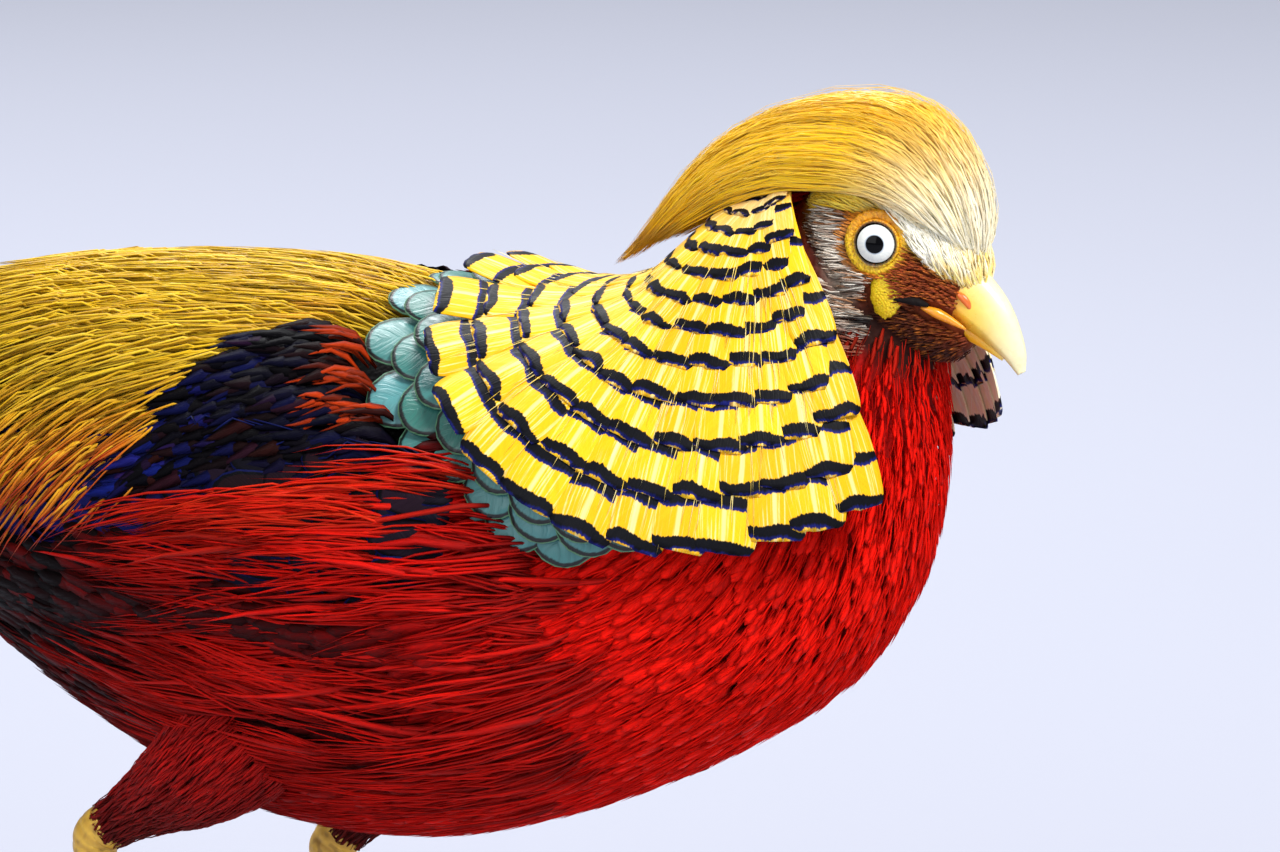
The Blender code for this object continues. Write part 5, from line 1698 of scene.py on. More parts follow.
@dataclass
class Crest:
    """The long silky crest, from the bill over crown and nape to the cape."""

    outer: tuple = (
        (21, 8), (16, 18), (6, 28.5), (-9, 34), (-24, 30),
        (-40, 18), (-53, 1), (-60, -19), (-62.5, -38), (-66.5, -47),
    )
    inner: tuple = (
        (15, 12), (9, 15), (0, 17.5), (-11, 16.5), (-22, 10.5), (-33, 3.5), (-42, -6.5), (-50, -19), (-58, -34),
        (-63.5, -44.5),
    )
    wide: tuple = (5, 10, 13.5, 15.5, 16, 15, 13, 9.5, 5, 2.5)
    strands: int = 3700
    loose: int = 150
    crown: int = 3400
    eye_gap: float = 7.7

    def at(self, share: Array, out: Array, turn: Array) -> tuple[Array, Array]:
        """Points of the crest in the head's frame and the ways outwards there."""
        rows = [(*o, *i, w) for o, i, w in zip(self.outer, self.inner, self.wide)]
        ox, oz, ix, iz, wide = np.moveaxis(curve(rows, share * (len(rows) - 1)), -1, 0)
        rise = out * np.cos(turn)
        points = np.stack([ix + (ox - ix) * rise, wide * out * np.sin(turn), iz + (oz - iz) * rise], -1)
        away = unit(np.stack([ox - ix, 0 * ox, oz - iz], -1))
        return points, away * np.cos(turn)[..., None] + ACROSS * np.sin(turn)[..., None]

    def core(self) -> Array:
        """Closed rings of the crest's solid middle."""
        turns = np.linspace(0, 2 * math.pi, 24, endpoint=False)
        share, turn = np.meshgrid(np.linspace(0.09, 0.87, 26), turns, indexing="ij")
        low = np.where(np.cos(turn) < 0, 0.35, 1.0)
        points, _ = self.at(share, np.full(share.shape, 0.55), turn)
        base, _ = self.at(share, np.full(share.shape, 0.0), turn)
        shift = np.stack([points[..., 0] - base[..., 0], points[..., 2] - base[..., 2]], -1) * low[..., None]
        points[..., 0], points[..., 2] = base[..., 0] + shift[..., 0], base[..., 2] + shift[..., 1]
        return in_head(points)

    def build(self, bird: Bird) -> None:
        """Lays the strands, the deeper ones shorter and darker with painted shade, and a painted highlight near the
        front.
        """
        rough = bird.chance(61)
        quill = Quill((0, 0.06, 0.16, 0.3, 0.45, 0.6, 0.75, 0.89), (0.6, 0.9, 1, 1, 1, 0.95, 0.8, 0.5), RIDGED)
        coat = Coat("crest_strands", rough)
        count = self.strands
        out = 0.45 + 0.57 * rough.random(count) ** 0.6
        self.lay(bird, coat, quill, count, out, rough, 0.42)
        coat.build(bird.shop, SILK, "head_plumage", ("head",))
        coat = Coat("crest_loose_hair", rough)
        self.lay(bird, coat, quill, self.loose, 1.03 + 0.09 * rough.random(self.loose), rough, 0.13, 0.5)
        coat.build(bird.shop, SILK, "head_plumage", ("head",))
        self.hair(bird, rough)

    def hair(self, bird: Bird, rough: np.random.Generator) -> None:
        """Lays the silky hair of brow and crown, nearly white in front as a painted highlight over pale yellow hair,
        from the bill back over the eye.
        """
        coat = Coat("crown_hair", rough)
        for side in Side:
            count = self.crown
            f = mix(24, -21, rough.random(count) ** 0.95)
            low = height_at(CROWN_EDGE, f)
            up = low + 0.6 + (15.5 - low) * rough.random(count) ** 1.3
            out = side.value * mix(0.5, 15, rough.random(count) ** 0.7)
            starts = in_head(np.stack([f, out, up], -1))
            climb = 0.3 + 0.35 * ease(f, 8, 18) + 0.25 * (rough.random(count) - 0.5) - 0.45 * ease(f, 0, -12)
            ahead = np.stack([-np.ones(count), 0 * f, climb], -1) @ HEAD_TURN.T
            lie = bird.head.march(starts, ahead, mix(8, 17, rough.random(count)), 5)
            way = from_head(lie.places)
            spare = way[..., 2] - height_at(CROWN_EDGE, way[..., 0])
            keep = (spare.min(axis=1) > -0.8) & (from_eye(lie.places).min(axis=1) > self.eye_gap)
            lie, f, count = lie.some(keep), f[keep], int(keep.sum())
            marks = LONG_STRAND.stops
            lift = -0.3 + mix(0.7, 2.6, rough.random((count, 1))) * ease(marks, 0, 0.5)
            white, yellow, gold = linear(255, 255, 246), linear(255, 230, 84), linear(252, 200, 14)
            tint = []
            for mark in marks:
                place = f - 12 * mark
                # Nearly white towards the front: a painted highlight over the pale yellow hair.
                pale = ease(place, -13, 1) * (1 - 0.9 * ease(place, 10, 19) * rough.random(count) ** 0.5)
                found = blend(gold, yellow, rough.random(count))
                tint.append(blend(found, white, pale * mix(0.8, 1.0, rough.random(count))))
            coat.add(LONG_STRAND, lie, 0.4 * mix(0.6, 1.1, rough.random(count)), 0.3, lift, np.stack(tint, 1), 0.6)
        coat.build(bird.shop, SILK, "head_plumage", ("head",))

    def lay(
        self, bird: Bird, coat: Coat, quill: Quill, count: int, out: Array,
        rough: np.random.Generator, half: float, front: float = 1.0,
    ) -> None:
        """Lays strands at given depths of the crest.

        Args:
            bird: The bird.
            coat: Takes the strands.
            quill: Their form.
            count: How many.
            out: Share of the crest's depth at which each lies.
            rough: The source of chance.
            half: Half width in mm.
            front: Share of the crest's length over which they grow.
        """
        turn = np.radians(99) * (rough.random(count) * 2 - 1)
        root = 0.005 + 0.33 * front * rough.random(count) ** 1.25
        long = rough.random(count)
        tip = np.where(long < 0.45, mix(0.76, 1.0, rough.random(count)), root + mix(0.28, 0.56, rough.random(count)))
        tip = np.minimum(tip, 1.0 - 0.12 * np.abs(np.sin(turn)))
        t = np.linspace(0, 1, 14)
        share = root[:, None] + (tip - root)[:, None] * t
        drift = 0.10 * (rough.random((count, 1)) - 0.5) * t
        wave = 0.02 * np.sin(6.3 * rough.random((count, 1)) + 7 * t)
        full = out[:, None] * (0.5 + 0.5 * ease(t, 0, 0.22)) * (1 - 0.25 * (1 - ease(share, 0.0, 0.12)))
        points, away = self.at(share, full, turn[:, None] + drift + wave)
        places = in_head(points)
        base, _, _ = bird.head.near(places[:, 0])
        blend_in = ease(t, 0, 0.14)[None, :, None]
        places = base[:, None] * (1 - blend_in) + places * blend_in
        normals = away @ HEAD_TURN.T
        patches = np.stack([0.02 + 0.9 * root / 0.4, 0.5 + turn / 3.6], -1)
        gold, deep = linear(255, 212, 20), linear(252, 188, 8)
        pale, painted_shade_gold = linear(255, 255, 240), linear(234, 158, 6)
        top = ease(np.cos(turn), 0.3, 0.95)
        colours = blend(gold, deep, rough.random(count) * 0.6)
        # Strands deep inside the crest are darker: painted shade.
        colours = blend(colours, painted_shade_gold, ease(out, 0.8, 0.45) * 0.7)
        marks = quill.stops
        along = root[:, None] + (tip - root)[:, None] * marks
        tint = []
        for k in range(len(marks)):
            s = along[:, k]
            # Nearly white towards the front: a painted highlight over pale yellow strands.
            light = ease(s, 0.42, 0.12) * (1 - 0.6 * top * ease(s, 0.18, 0.3)) * mix(0.65, 1.0, rough.random(count))
            warm = top * ease(s, 0.16, 0.34) * 0.4
            tint.append(blend(blend(colours, deep, warm), pale, light * 0.95))
        lie = way_of(places, normals, patches)
        coat.add(quill, lie, half * mix(0.7, 1.2, rough.random(count)), half * 0.8, 0.0, np.stack(tint, 1), 0.5)


@dataclass
class Face:
    """The short down of face and chin, and the hair-like feathers of the ears."""

    spacing: float = 0.66
    ear_hairs: int = 900

    def build(self, bird: Bird) -> None:
        """Lays the down and the ear's hairs."""
        rough = bird.chance(71)
        starts, headings = bird.head.scatter(self.spacing, rough)
        f, out, up = from_head(starts).T
        out = np.abs(out)
        keep = from_eye(starts) > EYE_RADIUS
        keep &= ~((f > 14) & (out < 5.8) & (up > -5.2) & (up < 9.4))
        keep &= ~((f > 12.5) & (np.abs(up + 2.7) < 2.2))
        keep &= ((f - 4.5) / 3.2) ** 2 + ((up + 5.4) / 4.8) ** 2 > 1
        keep &= (f < 26) & (f > -19) & (up < height_at(CROWN_EDGE, f) + 1.5)
        starts, headings, f, up = starts[keep], headings[keep], f[keep], up[keep]
        count = len(starts)
        headings = unit(headings + HEAD_TURN @ np.array((0, 0, -0.25)) + 0.25 * (rough.random((count, 3)) - 0.5))
        length = mix(1.8, 3.6, rough.random(count)) * mix(0.7, 1.3, ease(f, 14, -6))
        lie = bird.head.march(starts, headings, length, 2)
        keep = from_eye(lie.places[:, -1]) > EYE_RADIUS + 0.3
        lie, starts, count = lie.some(keep), starts[keep], int(keep.sum())
        marks = SHORT_HAIR.stops
        lift = -0.3 + 1.1 * marks * mix(0.4, 1.0, rough.random((count, 1)))
        colours = blend(shade(head_colour(starts), rough, 0.3), linear(214, 120, 40), rough.random(count) ** 4 * 0.9)
        tint = np.stack([colours * mix(0.65, 1.2, m) for m in marks], 1)
        coat = Coat("face_down", rough)
        coat.add(SHORT_HAIR, lie, 0.27, 0.2, lift, tint)
        coat.build(bird.shop, FACE, "head_plumage", ("head",))
        self.ears(bird, rough)

    def ears(self, bird: Bird, rough: np.random.Generator) -> None:
        """Lays the silvery ear feathers over the cape's front edge, with dark ones among them."""
        coat = Coat("ear_feathers", rough)
        parts = ((bird.head, self.ear_hairs, (-20, 1.5), (-17, 7.0)), (bird.trunk, 380, (-13, 8), (-20, -9)))
        for side in Side:
            for form, count, along, over in parts:
                f = mix(*along, rough.random(count))
                up = mix(*over, rough.random(count))
                starts = in_head(np.stack([f, np.full(count, side.value * 16.0), up], -1))
                ahead = np.stack([-np.ones(count), 0 * f, -0.35 - 0.3 * rough.random(count)], -1) @ HEAD_TURN.T
                lie = form.march(starts, ahead, mix(4.5, 8.5, rough.random(count)), 4)
                keep = from_eye(lie.places).min(axis=1) > EYE_RADIUS + 1
                f, _, up = from_head(lie.places[keep, 2]).T
                lie, count = lie.some(keep), int(keep.sum())
                marks = STRAND.stops
                lift = -0.2 + mix(1.0, 2.4, rough.random((count, 1))) * ease(marks, 0, 0.7)
                silver, brown = linear(238, 232, 220), linear(164, 108, 62)
                colours = blend(silver, brown, rough.random(count) ** 1.9)
                colours = blend(colours, linear(150, 60, 24), ease(up, -14, -17) * 0.9)
                spot = np.exp(-(((f - 3.6) / 2.6) ** 2 + ((up + 12.6) / 2.3) ** 2))
                colours = blend(colours, linear(14, 8, 8), np.clip(spot * 1.3, 0, 1))
                colours = blend(colours, linear(24, 14, 10), (rough.random(count) < 0.07) * 0.9)
                coat.add(STRAND, lie, 0.22, 0.2, lift, colours, 0.3)
        coat.build(bird.shop, FACE, "head_plumage", ("head",))


@dataclass
class Eye:
    """An eyeball with its lids and the bare lobe under it."""

    side: Side
    axis: tuple = (0.26, 0.94, 0.2)  # forward, out, up
    lid_at: tuple = (-1.95, 14.1, 5.65)
    lid_radius: float = 5.2
    lobe_at: tuple = (4.9, 12.1, -3.9)
    lobe_size: tuple = (3.8, 1.5, 6.3)

    def to_side(self, place: Sequence[float]) -> Array:
        """A place given for the left side, on this side, in the head's frame."""
        return np.array(place, float) * (1, self.side.value, 1)

    def aim(self, axis: Sequence[float], at: Sequence[float]) -> Matrix:
        """Puts the z axis along a way out of the head, at a place."""
        way = Vector(unit(HEAD_TURN @ self.to_side(axis)).tolist())
        turn = way.to_track_quat("Z", "Y").to_matrix().to_4x4()
        return Matrix.Translation(in_head(self.to_side(at)).tolist()) @ turn

    def build(self, bird: Bird) -> None:
        """Makes ball, lids and lobe."""
        word = self.side.word
        ball = bmesh.new()
        bmesh.ops.create_uvsphere(ball, u_segments=56, v_segments=48, radius=EYE_RADIUS)
        layer = ball.loops.layers.uv.new("lie")
        for face in ball.faces:
            for loop in face.loops:
                co = loop.vert.co / EYE_RADIUS
                ring = math.hypot(co.x, co.y) if co.z > 0 else 1.0
                loop[layer].uv = ((math.atan2(co.y, co.x) / math.tau) % 1.0, ring)
        bmesh.ops.transform(ball, matrix=self.aim(self.axis, EYE_AT), verts=ball.verts)
        bird.shop.solid("eye_ball_" + word, ball, EyeGlass(), "eye", ("eye_" + word,))
        rings = bmesh.new()
        for radius, thick, high, flat in ((self.lid_radius, 0.5, 0.05, 1.0), (6.45, 1.35, -0.95, 0.72)):
            made = bmesh.ops.create_circle(rings, segments=14, radius=thick)["verts"]
            bmesh.ops.rotate(rings, verts=made, matrix=Matrix.Rotation(math.pi / 2, 3, "X"))
            bmesh.ops.scale(rings, verts=made, vec=(1, 1, flat))
            bmesh.ops.translate(rings, verts=made, vec=(radius, 0, high))
            edges = list({e for v in made for e in v.link_edges})
            bmesh.ops.spin(
                rings, geom=made + edges, cent=(0, 0, 0), axis=(0, 0, 1), angle=math.tau, steps=120, use_merge=True
            )
        for vert in rings.verts:
            turn = math.atan2(vert.co.y, vert.co.x)
            out = math.hypot(vert.co.x, vert.co.y)
            bead = math.sin(turn * 34 + 2.0 * math.sin(out * 4.0)) * math.sin(out * 5.4 + 1.3 * math.sin(turn * 9))
            vert.co.z += 0.2 * bead * (out > 5.2)
            vert.co *= 1 + 0.008 * math.sin(turn * 23 + out * 5)
        bmesh.ops.recalc_face_normals(rings, faces=rings.faces)
        bmesh.ops.transform(rings, matrix=self.aim((0.2, 0.96, 0.14), self.lid_at), verts=rings.verts)
        centre = in_head(self.to_side(self.lid_at))

        def lid_marks(points: Array) -> Array:
            """Dark at the eye's edge, orange further out, yellow below."""
            away = np.linalg.norm(points - centre, axis=1)
            f, _, up = from_head(points).T
            orange, yellow, dark = linear(232, 160, 20), linear(252, 208, 30), linear(24, 14, 12)
            beads = np.sin(f * 5.1 + 1.7 * np.sin(up * 3.3)) * np.sin(up * 4.7 + 1.9 * np.sin(f * 2.9))
            found = blend(orange, yellow, np.clip(ease(up, 8, 0) + 0.5 * ease(f, -2, 3), 0, 1))
            found = blend(found, linear(140, 70, 16), ease(beads, 0.1, 0.6) * 0.55)
            corner = ease(up, 2.5, 0.5) * ease(away, 6.0, 5.0) * ease(f, -4, 0)
            found = blend(found, linear(96, 84, 130), corner * 0.8)
            return blend(found, dark, ease(away, 5.5, 5.05) * 0.92)

        bird.shop.solid("eyelids_" + word, rings, LAPPET, "head_plumage", ("head",), lid_marks)
        lobe = bmesh.new()
        bmesh.ops.create_uvsphere(lobe, u_segments=36, v_segments=26, radius=1.0)
        bmesh.ops.scale(lobe, verts=lobe.verts, vec=self.lobe_size)
        for vert in lobe.verts:
            x, _, z = vert.co
            vert.co *= 1 + 0.05 * math.sin(x * 2.6 + z * 1.7) * math.sin(z * 2.9) + 0.03 * math.sin(x * 7.1 - z * 5.3)
        bmesh.ops.rotate(lobe, verts=lobe.verts, matrix=Matrix.Rotation(math.radians(-24), 3, "Y"))
        turn = Matrix(HEAD_TURN.tolist()).to_4x4() @ Matrix.Rotation(self.side.value * math.radians(-14), 4, "Z")
        bmesh.ops.transform(
            lobe, matrix=Matrix.Translation(in_head(self.to_side(self.lobe_at)).tolist()) @ turn, verts=lobe.verts
        )
        yellow = linear(250, 212, 24)
        bird.shop.solid(
            "lappet_" + word, lobe, LAPPET, "head_plumage", ("head",), yellow,
        )


@dataclass
class Bill:
    """The bill: a hooked upper half over a lower one, with nostril flaps."""

    upper: tuple = (
        (17, 9.6, 9.6, -1.8, 6.2),
        (23, 8.6, 16.5, -2.2, 5.6),
        (29, 6.2, 22.8, -2.7, 4.6),
        (34, 2.6, 28.8, -3.3, 3.4),
        (37.8, -1.2, 34.4, -4.6, 2.1),
        (39.8, -5.0, 38.8, -6.6, 0.7),
    )
    lower: tuple = (
        (11, -8.4, 9.6, -2.2, 5.2),
        (17.5, -7.8, 16.5, -2.6, 4.5),
        (23.2, -7.1, 22.8, -3.1, 3.5),
        (28.6, -6.5, 28.4, -3.7, 2.3),
        (33.4, -6.3, 33.2, -5.0, 0.8),
    )

    def rings(self, table: tuple) -> Array:
        """Rings of one half: an arch over a slightly hollow edge."""
        rows = curve(table, np.linspace(0, len(table) - 1, 44))
        found = []
        turn = np.linspace(0, math.pi, 17)
        for forward, up, edge_forward, edge_up, wide in rows:
            crown, edge = np.array((forward, 0, up)), np.array((edge_forward, 0, edge_up))
            arch = edge + (crown - edge) * (np.sin(turn) ** 0.8)[:, None] + ACROSS * (wide * np.cos(turn))[:, None]
            back = edge + (crown - edge) * 0.07 + ACROSS * (wide * np.linspace(-0.7, 0.7, 5))[:, None]
            found.append(np.concatenate([arch, back]))
        return in_head(np.array(found))

    def build(self, bird: Bird) -> None:
        """Makes both halves and the flaps over the nostrils."""

        def marks(points: Array) -> Array:
            """A painted highlight in cream along the ridge, yellow at the edges, orange at the root."""
            f, out, up = from_head(points).T
            highlight_cream, yellow, orange = linear(250, 240, 190), linear(250, 208, 70), linear(222, 130, 50)
            # Cream along the top of the ridge: a painted highlight.
            ridge = ease(up + 0.62 * (f - 17), 3, 8.5) * ease(np.abs(out), 5.5, 1.5)
            found = blend(yellow, highlight_cream, ridge)
            found = blend(found, linear(244, 168, 12), ease(up + 0.25 * (f - 16), 2.0, -2.0) * ease(f, 36, 24) * 0.9)
            return blend(found, orange, ease(f, 22.5, 17) * ease(up, 6, 2) * 0.85)

        bird.shop.solid("bill_upper_horn", loft(self.rings(self.upper)), HORN, "bill", ("bill_upper",), marks)
        bird.shop.solid("bill_lower_horn", loft(self.rings(self.lower)), HORN, "bill", ("bill_lower",), marks)
        flaps = bmesh.new()
        pink = linear(226, 110, 40)
        for side in Side:
            made = bmesh.ops.create_uvsphere(flaps, u_segments=24, v_segments=16, radius=1.0)["verts"]
            bmesh.ops.scale(flaps, verts=made, vec=(2.9, 0.9, 1.0))
            for vert in made:
                vert.co.z -= 0.06 * vert.co.x**2
            turn = Matrix.Rotation(math.radians(20), 4, "Y") @ Matrix.Rotation(side.value * math.radians(-12), 4, "Z")
            place = Matrix.Translation(in_head((20.4, side.value * 4.75, 2.9)).tolist())
            bmesh.ops.transform(flaps, matrix=place @ Matrix(HEAD_TURN.tolist()).to_4x4() @ turn, verts=made)
        bird.shop.solid(
            "nostril_flaps", flaps, HORN, "bill", ("bill_upper",), pink,
        )
        self.gape(bird)

    def gape(self, bird: Bird) -> None:
        """The fleshy corner of the mouth behind the bill, and the dark line beyond it."""
        black, flesh = linear(16, 8, 8), linear(238, 150, 24)
        folds = (
            (
                "gape_line", UNDERCOAT, black,
                ((14.6, 9.3, -1.6), (12.6, 10.6, -1.8), (10.4, 11.5, -2.6), (7.6, 12.6, -4.0)),
                (0.45, 0.95, 0.85, 0.3),
            ),
            (
                "gape_flesh", HORN, flesh,
                ((24.0, 5.3, -2.8), (20.0, 6.6, -2.6), (16.6, 8.2, -2.5), (13.4, 9.6, -2.9)),
                (0.3, 0.95, 1.15, 0.35),
            ),
        )
        for name, finish, colour, line, radii in folds:
            both = [limb(in_head(np.array(line) * (1, side.value, 1)), radii, 10, 14) for side in Side]
            bird.shop.solid(name, joined(both), finish, "head_plumage", ("head",), colour)


@dataclass
class Tail:
    """The long folded tail, its coverts and its stump."""

    ridge: tuple = (
        (-166.3, 204), (-190, 205), (-260, 203), (-380, 190), (-520, 166), (-640, 138), (-740, 110), (-790, 94),
    )
    # Middle pair outwards: length, half width, roll from level in degrees
    rectrices: tuple = ((624, 18, 32), (550, 16, 42), (430, 14.5, 52), (310, 13.5, 61), (205, 12, 70))
    step: tuple = (1.0, 1.9)
    root_x: float = -166.3
    coverts: tuple = ((160, 5, 5.5), (190, 12, 5.5), (150, 19, 5.5), (105, 26, 5.5))
    stump: tuple = ((-158, 181, 15, 26), (-166.3, 181, 14, 25), (-176, 185, 13.5, 20.5), (-190, 190, 10, 14))

    def height(self, x: Array) -> Array:
        """Height of the tail's ridge."""
        rows = np.array(self.ridge)
        return np.polyval(np.polyfit(rows[:, 0], rows[:, 1], 3), x)

    def build(self, bird: Bird) -> None:
        """Makes stump, feathers and coverts."""
        rough = bird.chance(81)
        rows = curve(self.stump, np.linspace(0, 3, 12))
        none = rows[:, 0] * 0
        top = np.stack([rows[:, 0], none, rows[:, 1] + rows[:, 3]], -1)
        bottom = np.stack([rows[:, 0], none, rows[:, 1] - rows[:, 3]], -1)
        rings = bird.form.ovals(top, bottom, rows[:, 2], 24, 0.0, ACROSS, 0.0)
        dark = linear(120, 40, 18)
        bird.shop.solid(
            "tail_stump", loft(rings), UNDERCOAT, "tail_plumage", ("tail",), dark,
        )
        self.long_feathers(bird, rough)
        self.side_coverts(bird, rough)

    def long_feathers(self, bird: Bird, rough: np.random.Generator) -> None:
        """The nine feathers of each side, folded against each other like half a roof."""
        along = np.linspace(0, 1, 30)
        spread = np.minimum(1, 0.35 + along * 4) * (1 - 0.62 * np.clip(along - 0.3, 0, 1) / 0.7)
        spread[-3:] *= (0.86, 0.62, 0.2)
        quill = Quill(tuple(along), tuple(spread), flat_section(7), 0.10, False)
        coat = Coat("tail_feathers", rough)
        for side in Side:
            for number in np.arange(8, -1, -1) / 2:
                (length, half, roll), = curve(self.rectrices, np.array([number]))
                tilt = math.radians(roll)
                out = np.array((0, side.value * math.cos(tilt), -math.sin(tilt)))
                x = self.root_x - 3 - length * along
                low = self.step[1] * number + 2.5 * (1 - np.minimum(1, along * 8))
                beside = np.full(30, side.value * (0.6 + self.step[0] * number))
                inner = np.stack([x, beside, self.height(x) - low], -1)
                middle = inner + out * (half * spread)[:, None]
                slope = unit(np.gradient(middle, axis=0))
                normal = np.cross(slope, out) * side.value
                patch = np.array([[0.1 + number / 6, 0.5 + side.value * 0.25]])
                lie = way_of(middle[None], normal[None], patch)
                lie.normals = np.where(lie.normals[..., 2:] < 0, -lie.normals, lie.normals)
                light = linear(206, 148, 84) if number < 0.4 else linear(186, 134, 82)
                coat.add(quill, lie, np.array([half]), 0.7, 0.0, light[None], patch=0.05)
                coat.tints[-1][:, 3] = 0.0 if number < 0.6 else 1.0
        coat.build(bird.shop, TAIL, "tail_plumage", ("tail",))

    def side_coverts(self, bird: Bird, rough: np.random.Generator) -> None:
        """Narrow orange-red feathers at the sides of the tail's root."""
        quill = Quill((0, 0.1, 0.25, 0.42, 0.6, 0.78, 0.92), (0.6, 1, 1, 0.92, 0.8, 0.6, 0.34), LENS, 0.12)
        coat = Coat("tail_coverts", rough)
        for side in Side:
            count = 34
            number = np.linspace(-0.4, 3, count)
            rows = curve(self.coverts, number)
            length = rows[:, 0] * mix(0.7, 1.02, rough.random(count))
            drop, lift = rows[:, 1] + 3 * (rough.random(count) - 0.5), 3.4 + 3 * rough.random(count)
            tilt = np.radians(28 + 11 * number)
            out = np.stack([0 * tilt, side.value * np.sin(tilt), np.cos(tilt)], -1)
            t = np.linspace(0, 1, 12)
            x = self.root_x - 2 + 20 * rough.random((count, 1)) - length[:, None] * t
            fall = drop[:, None]
            middle = np.stack([x, 0 * x + side.value * fall * 0.95, self.height(x) - fall * 0.62], -1)
            rise = -3.5 + (lift[:, None] + 3.5) * np.minimum(1, t * 3.2)
            places = middle + out[:, None] * rise[..., None]
            chances = np.stack([number / 8 + 0.1, 0 * number + 0.5], -1)
            lie = way_of(places, np.repeat(out[:, None], 12, axis=1), chances)
            red, orange = linear(196, 40, 14), linear(228, 110, 24)
            colours = blend(red, orange, rough.random(count))
            coat.add(quill, lie, mix(2.6, 4.0, rough.random(count)), 0.4, 0.0, colours, 0.8, patch=0.01)
        coat.build(bird.shop, COVERT, "tail_plumage", ("tail",))


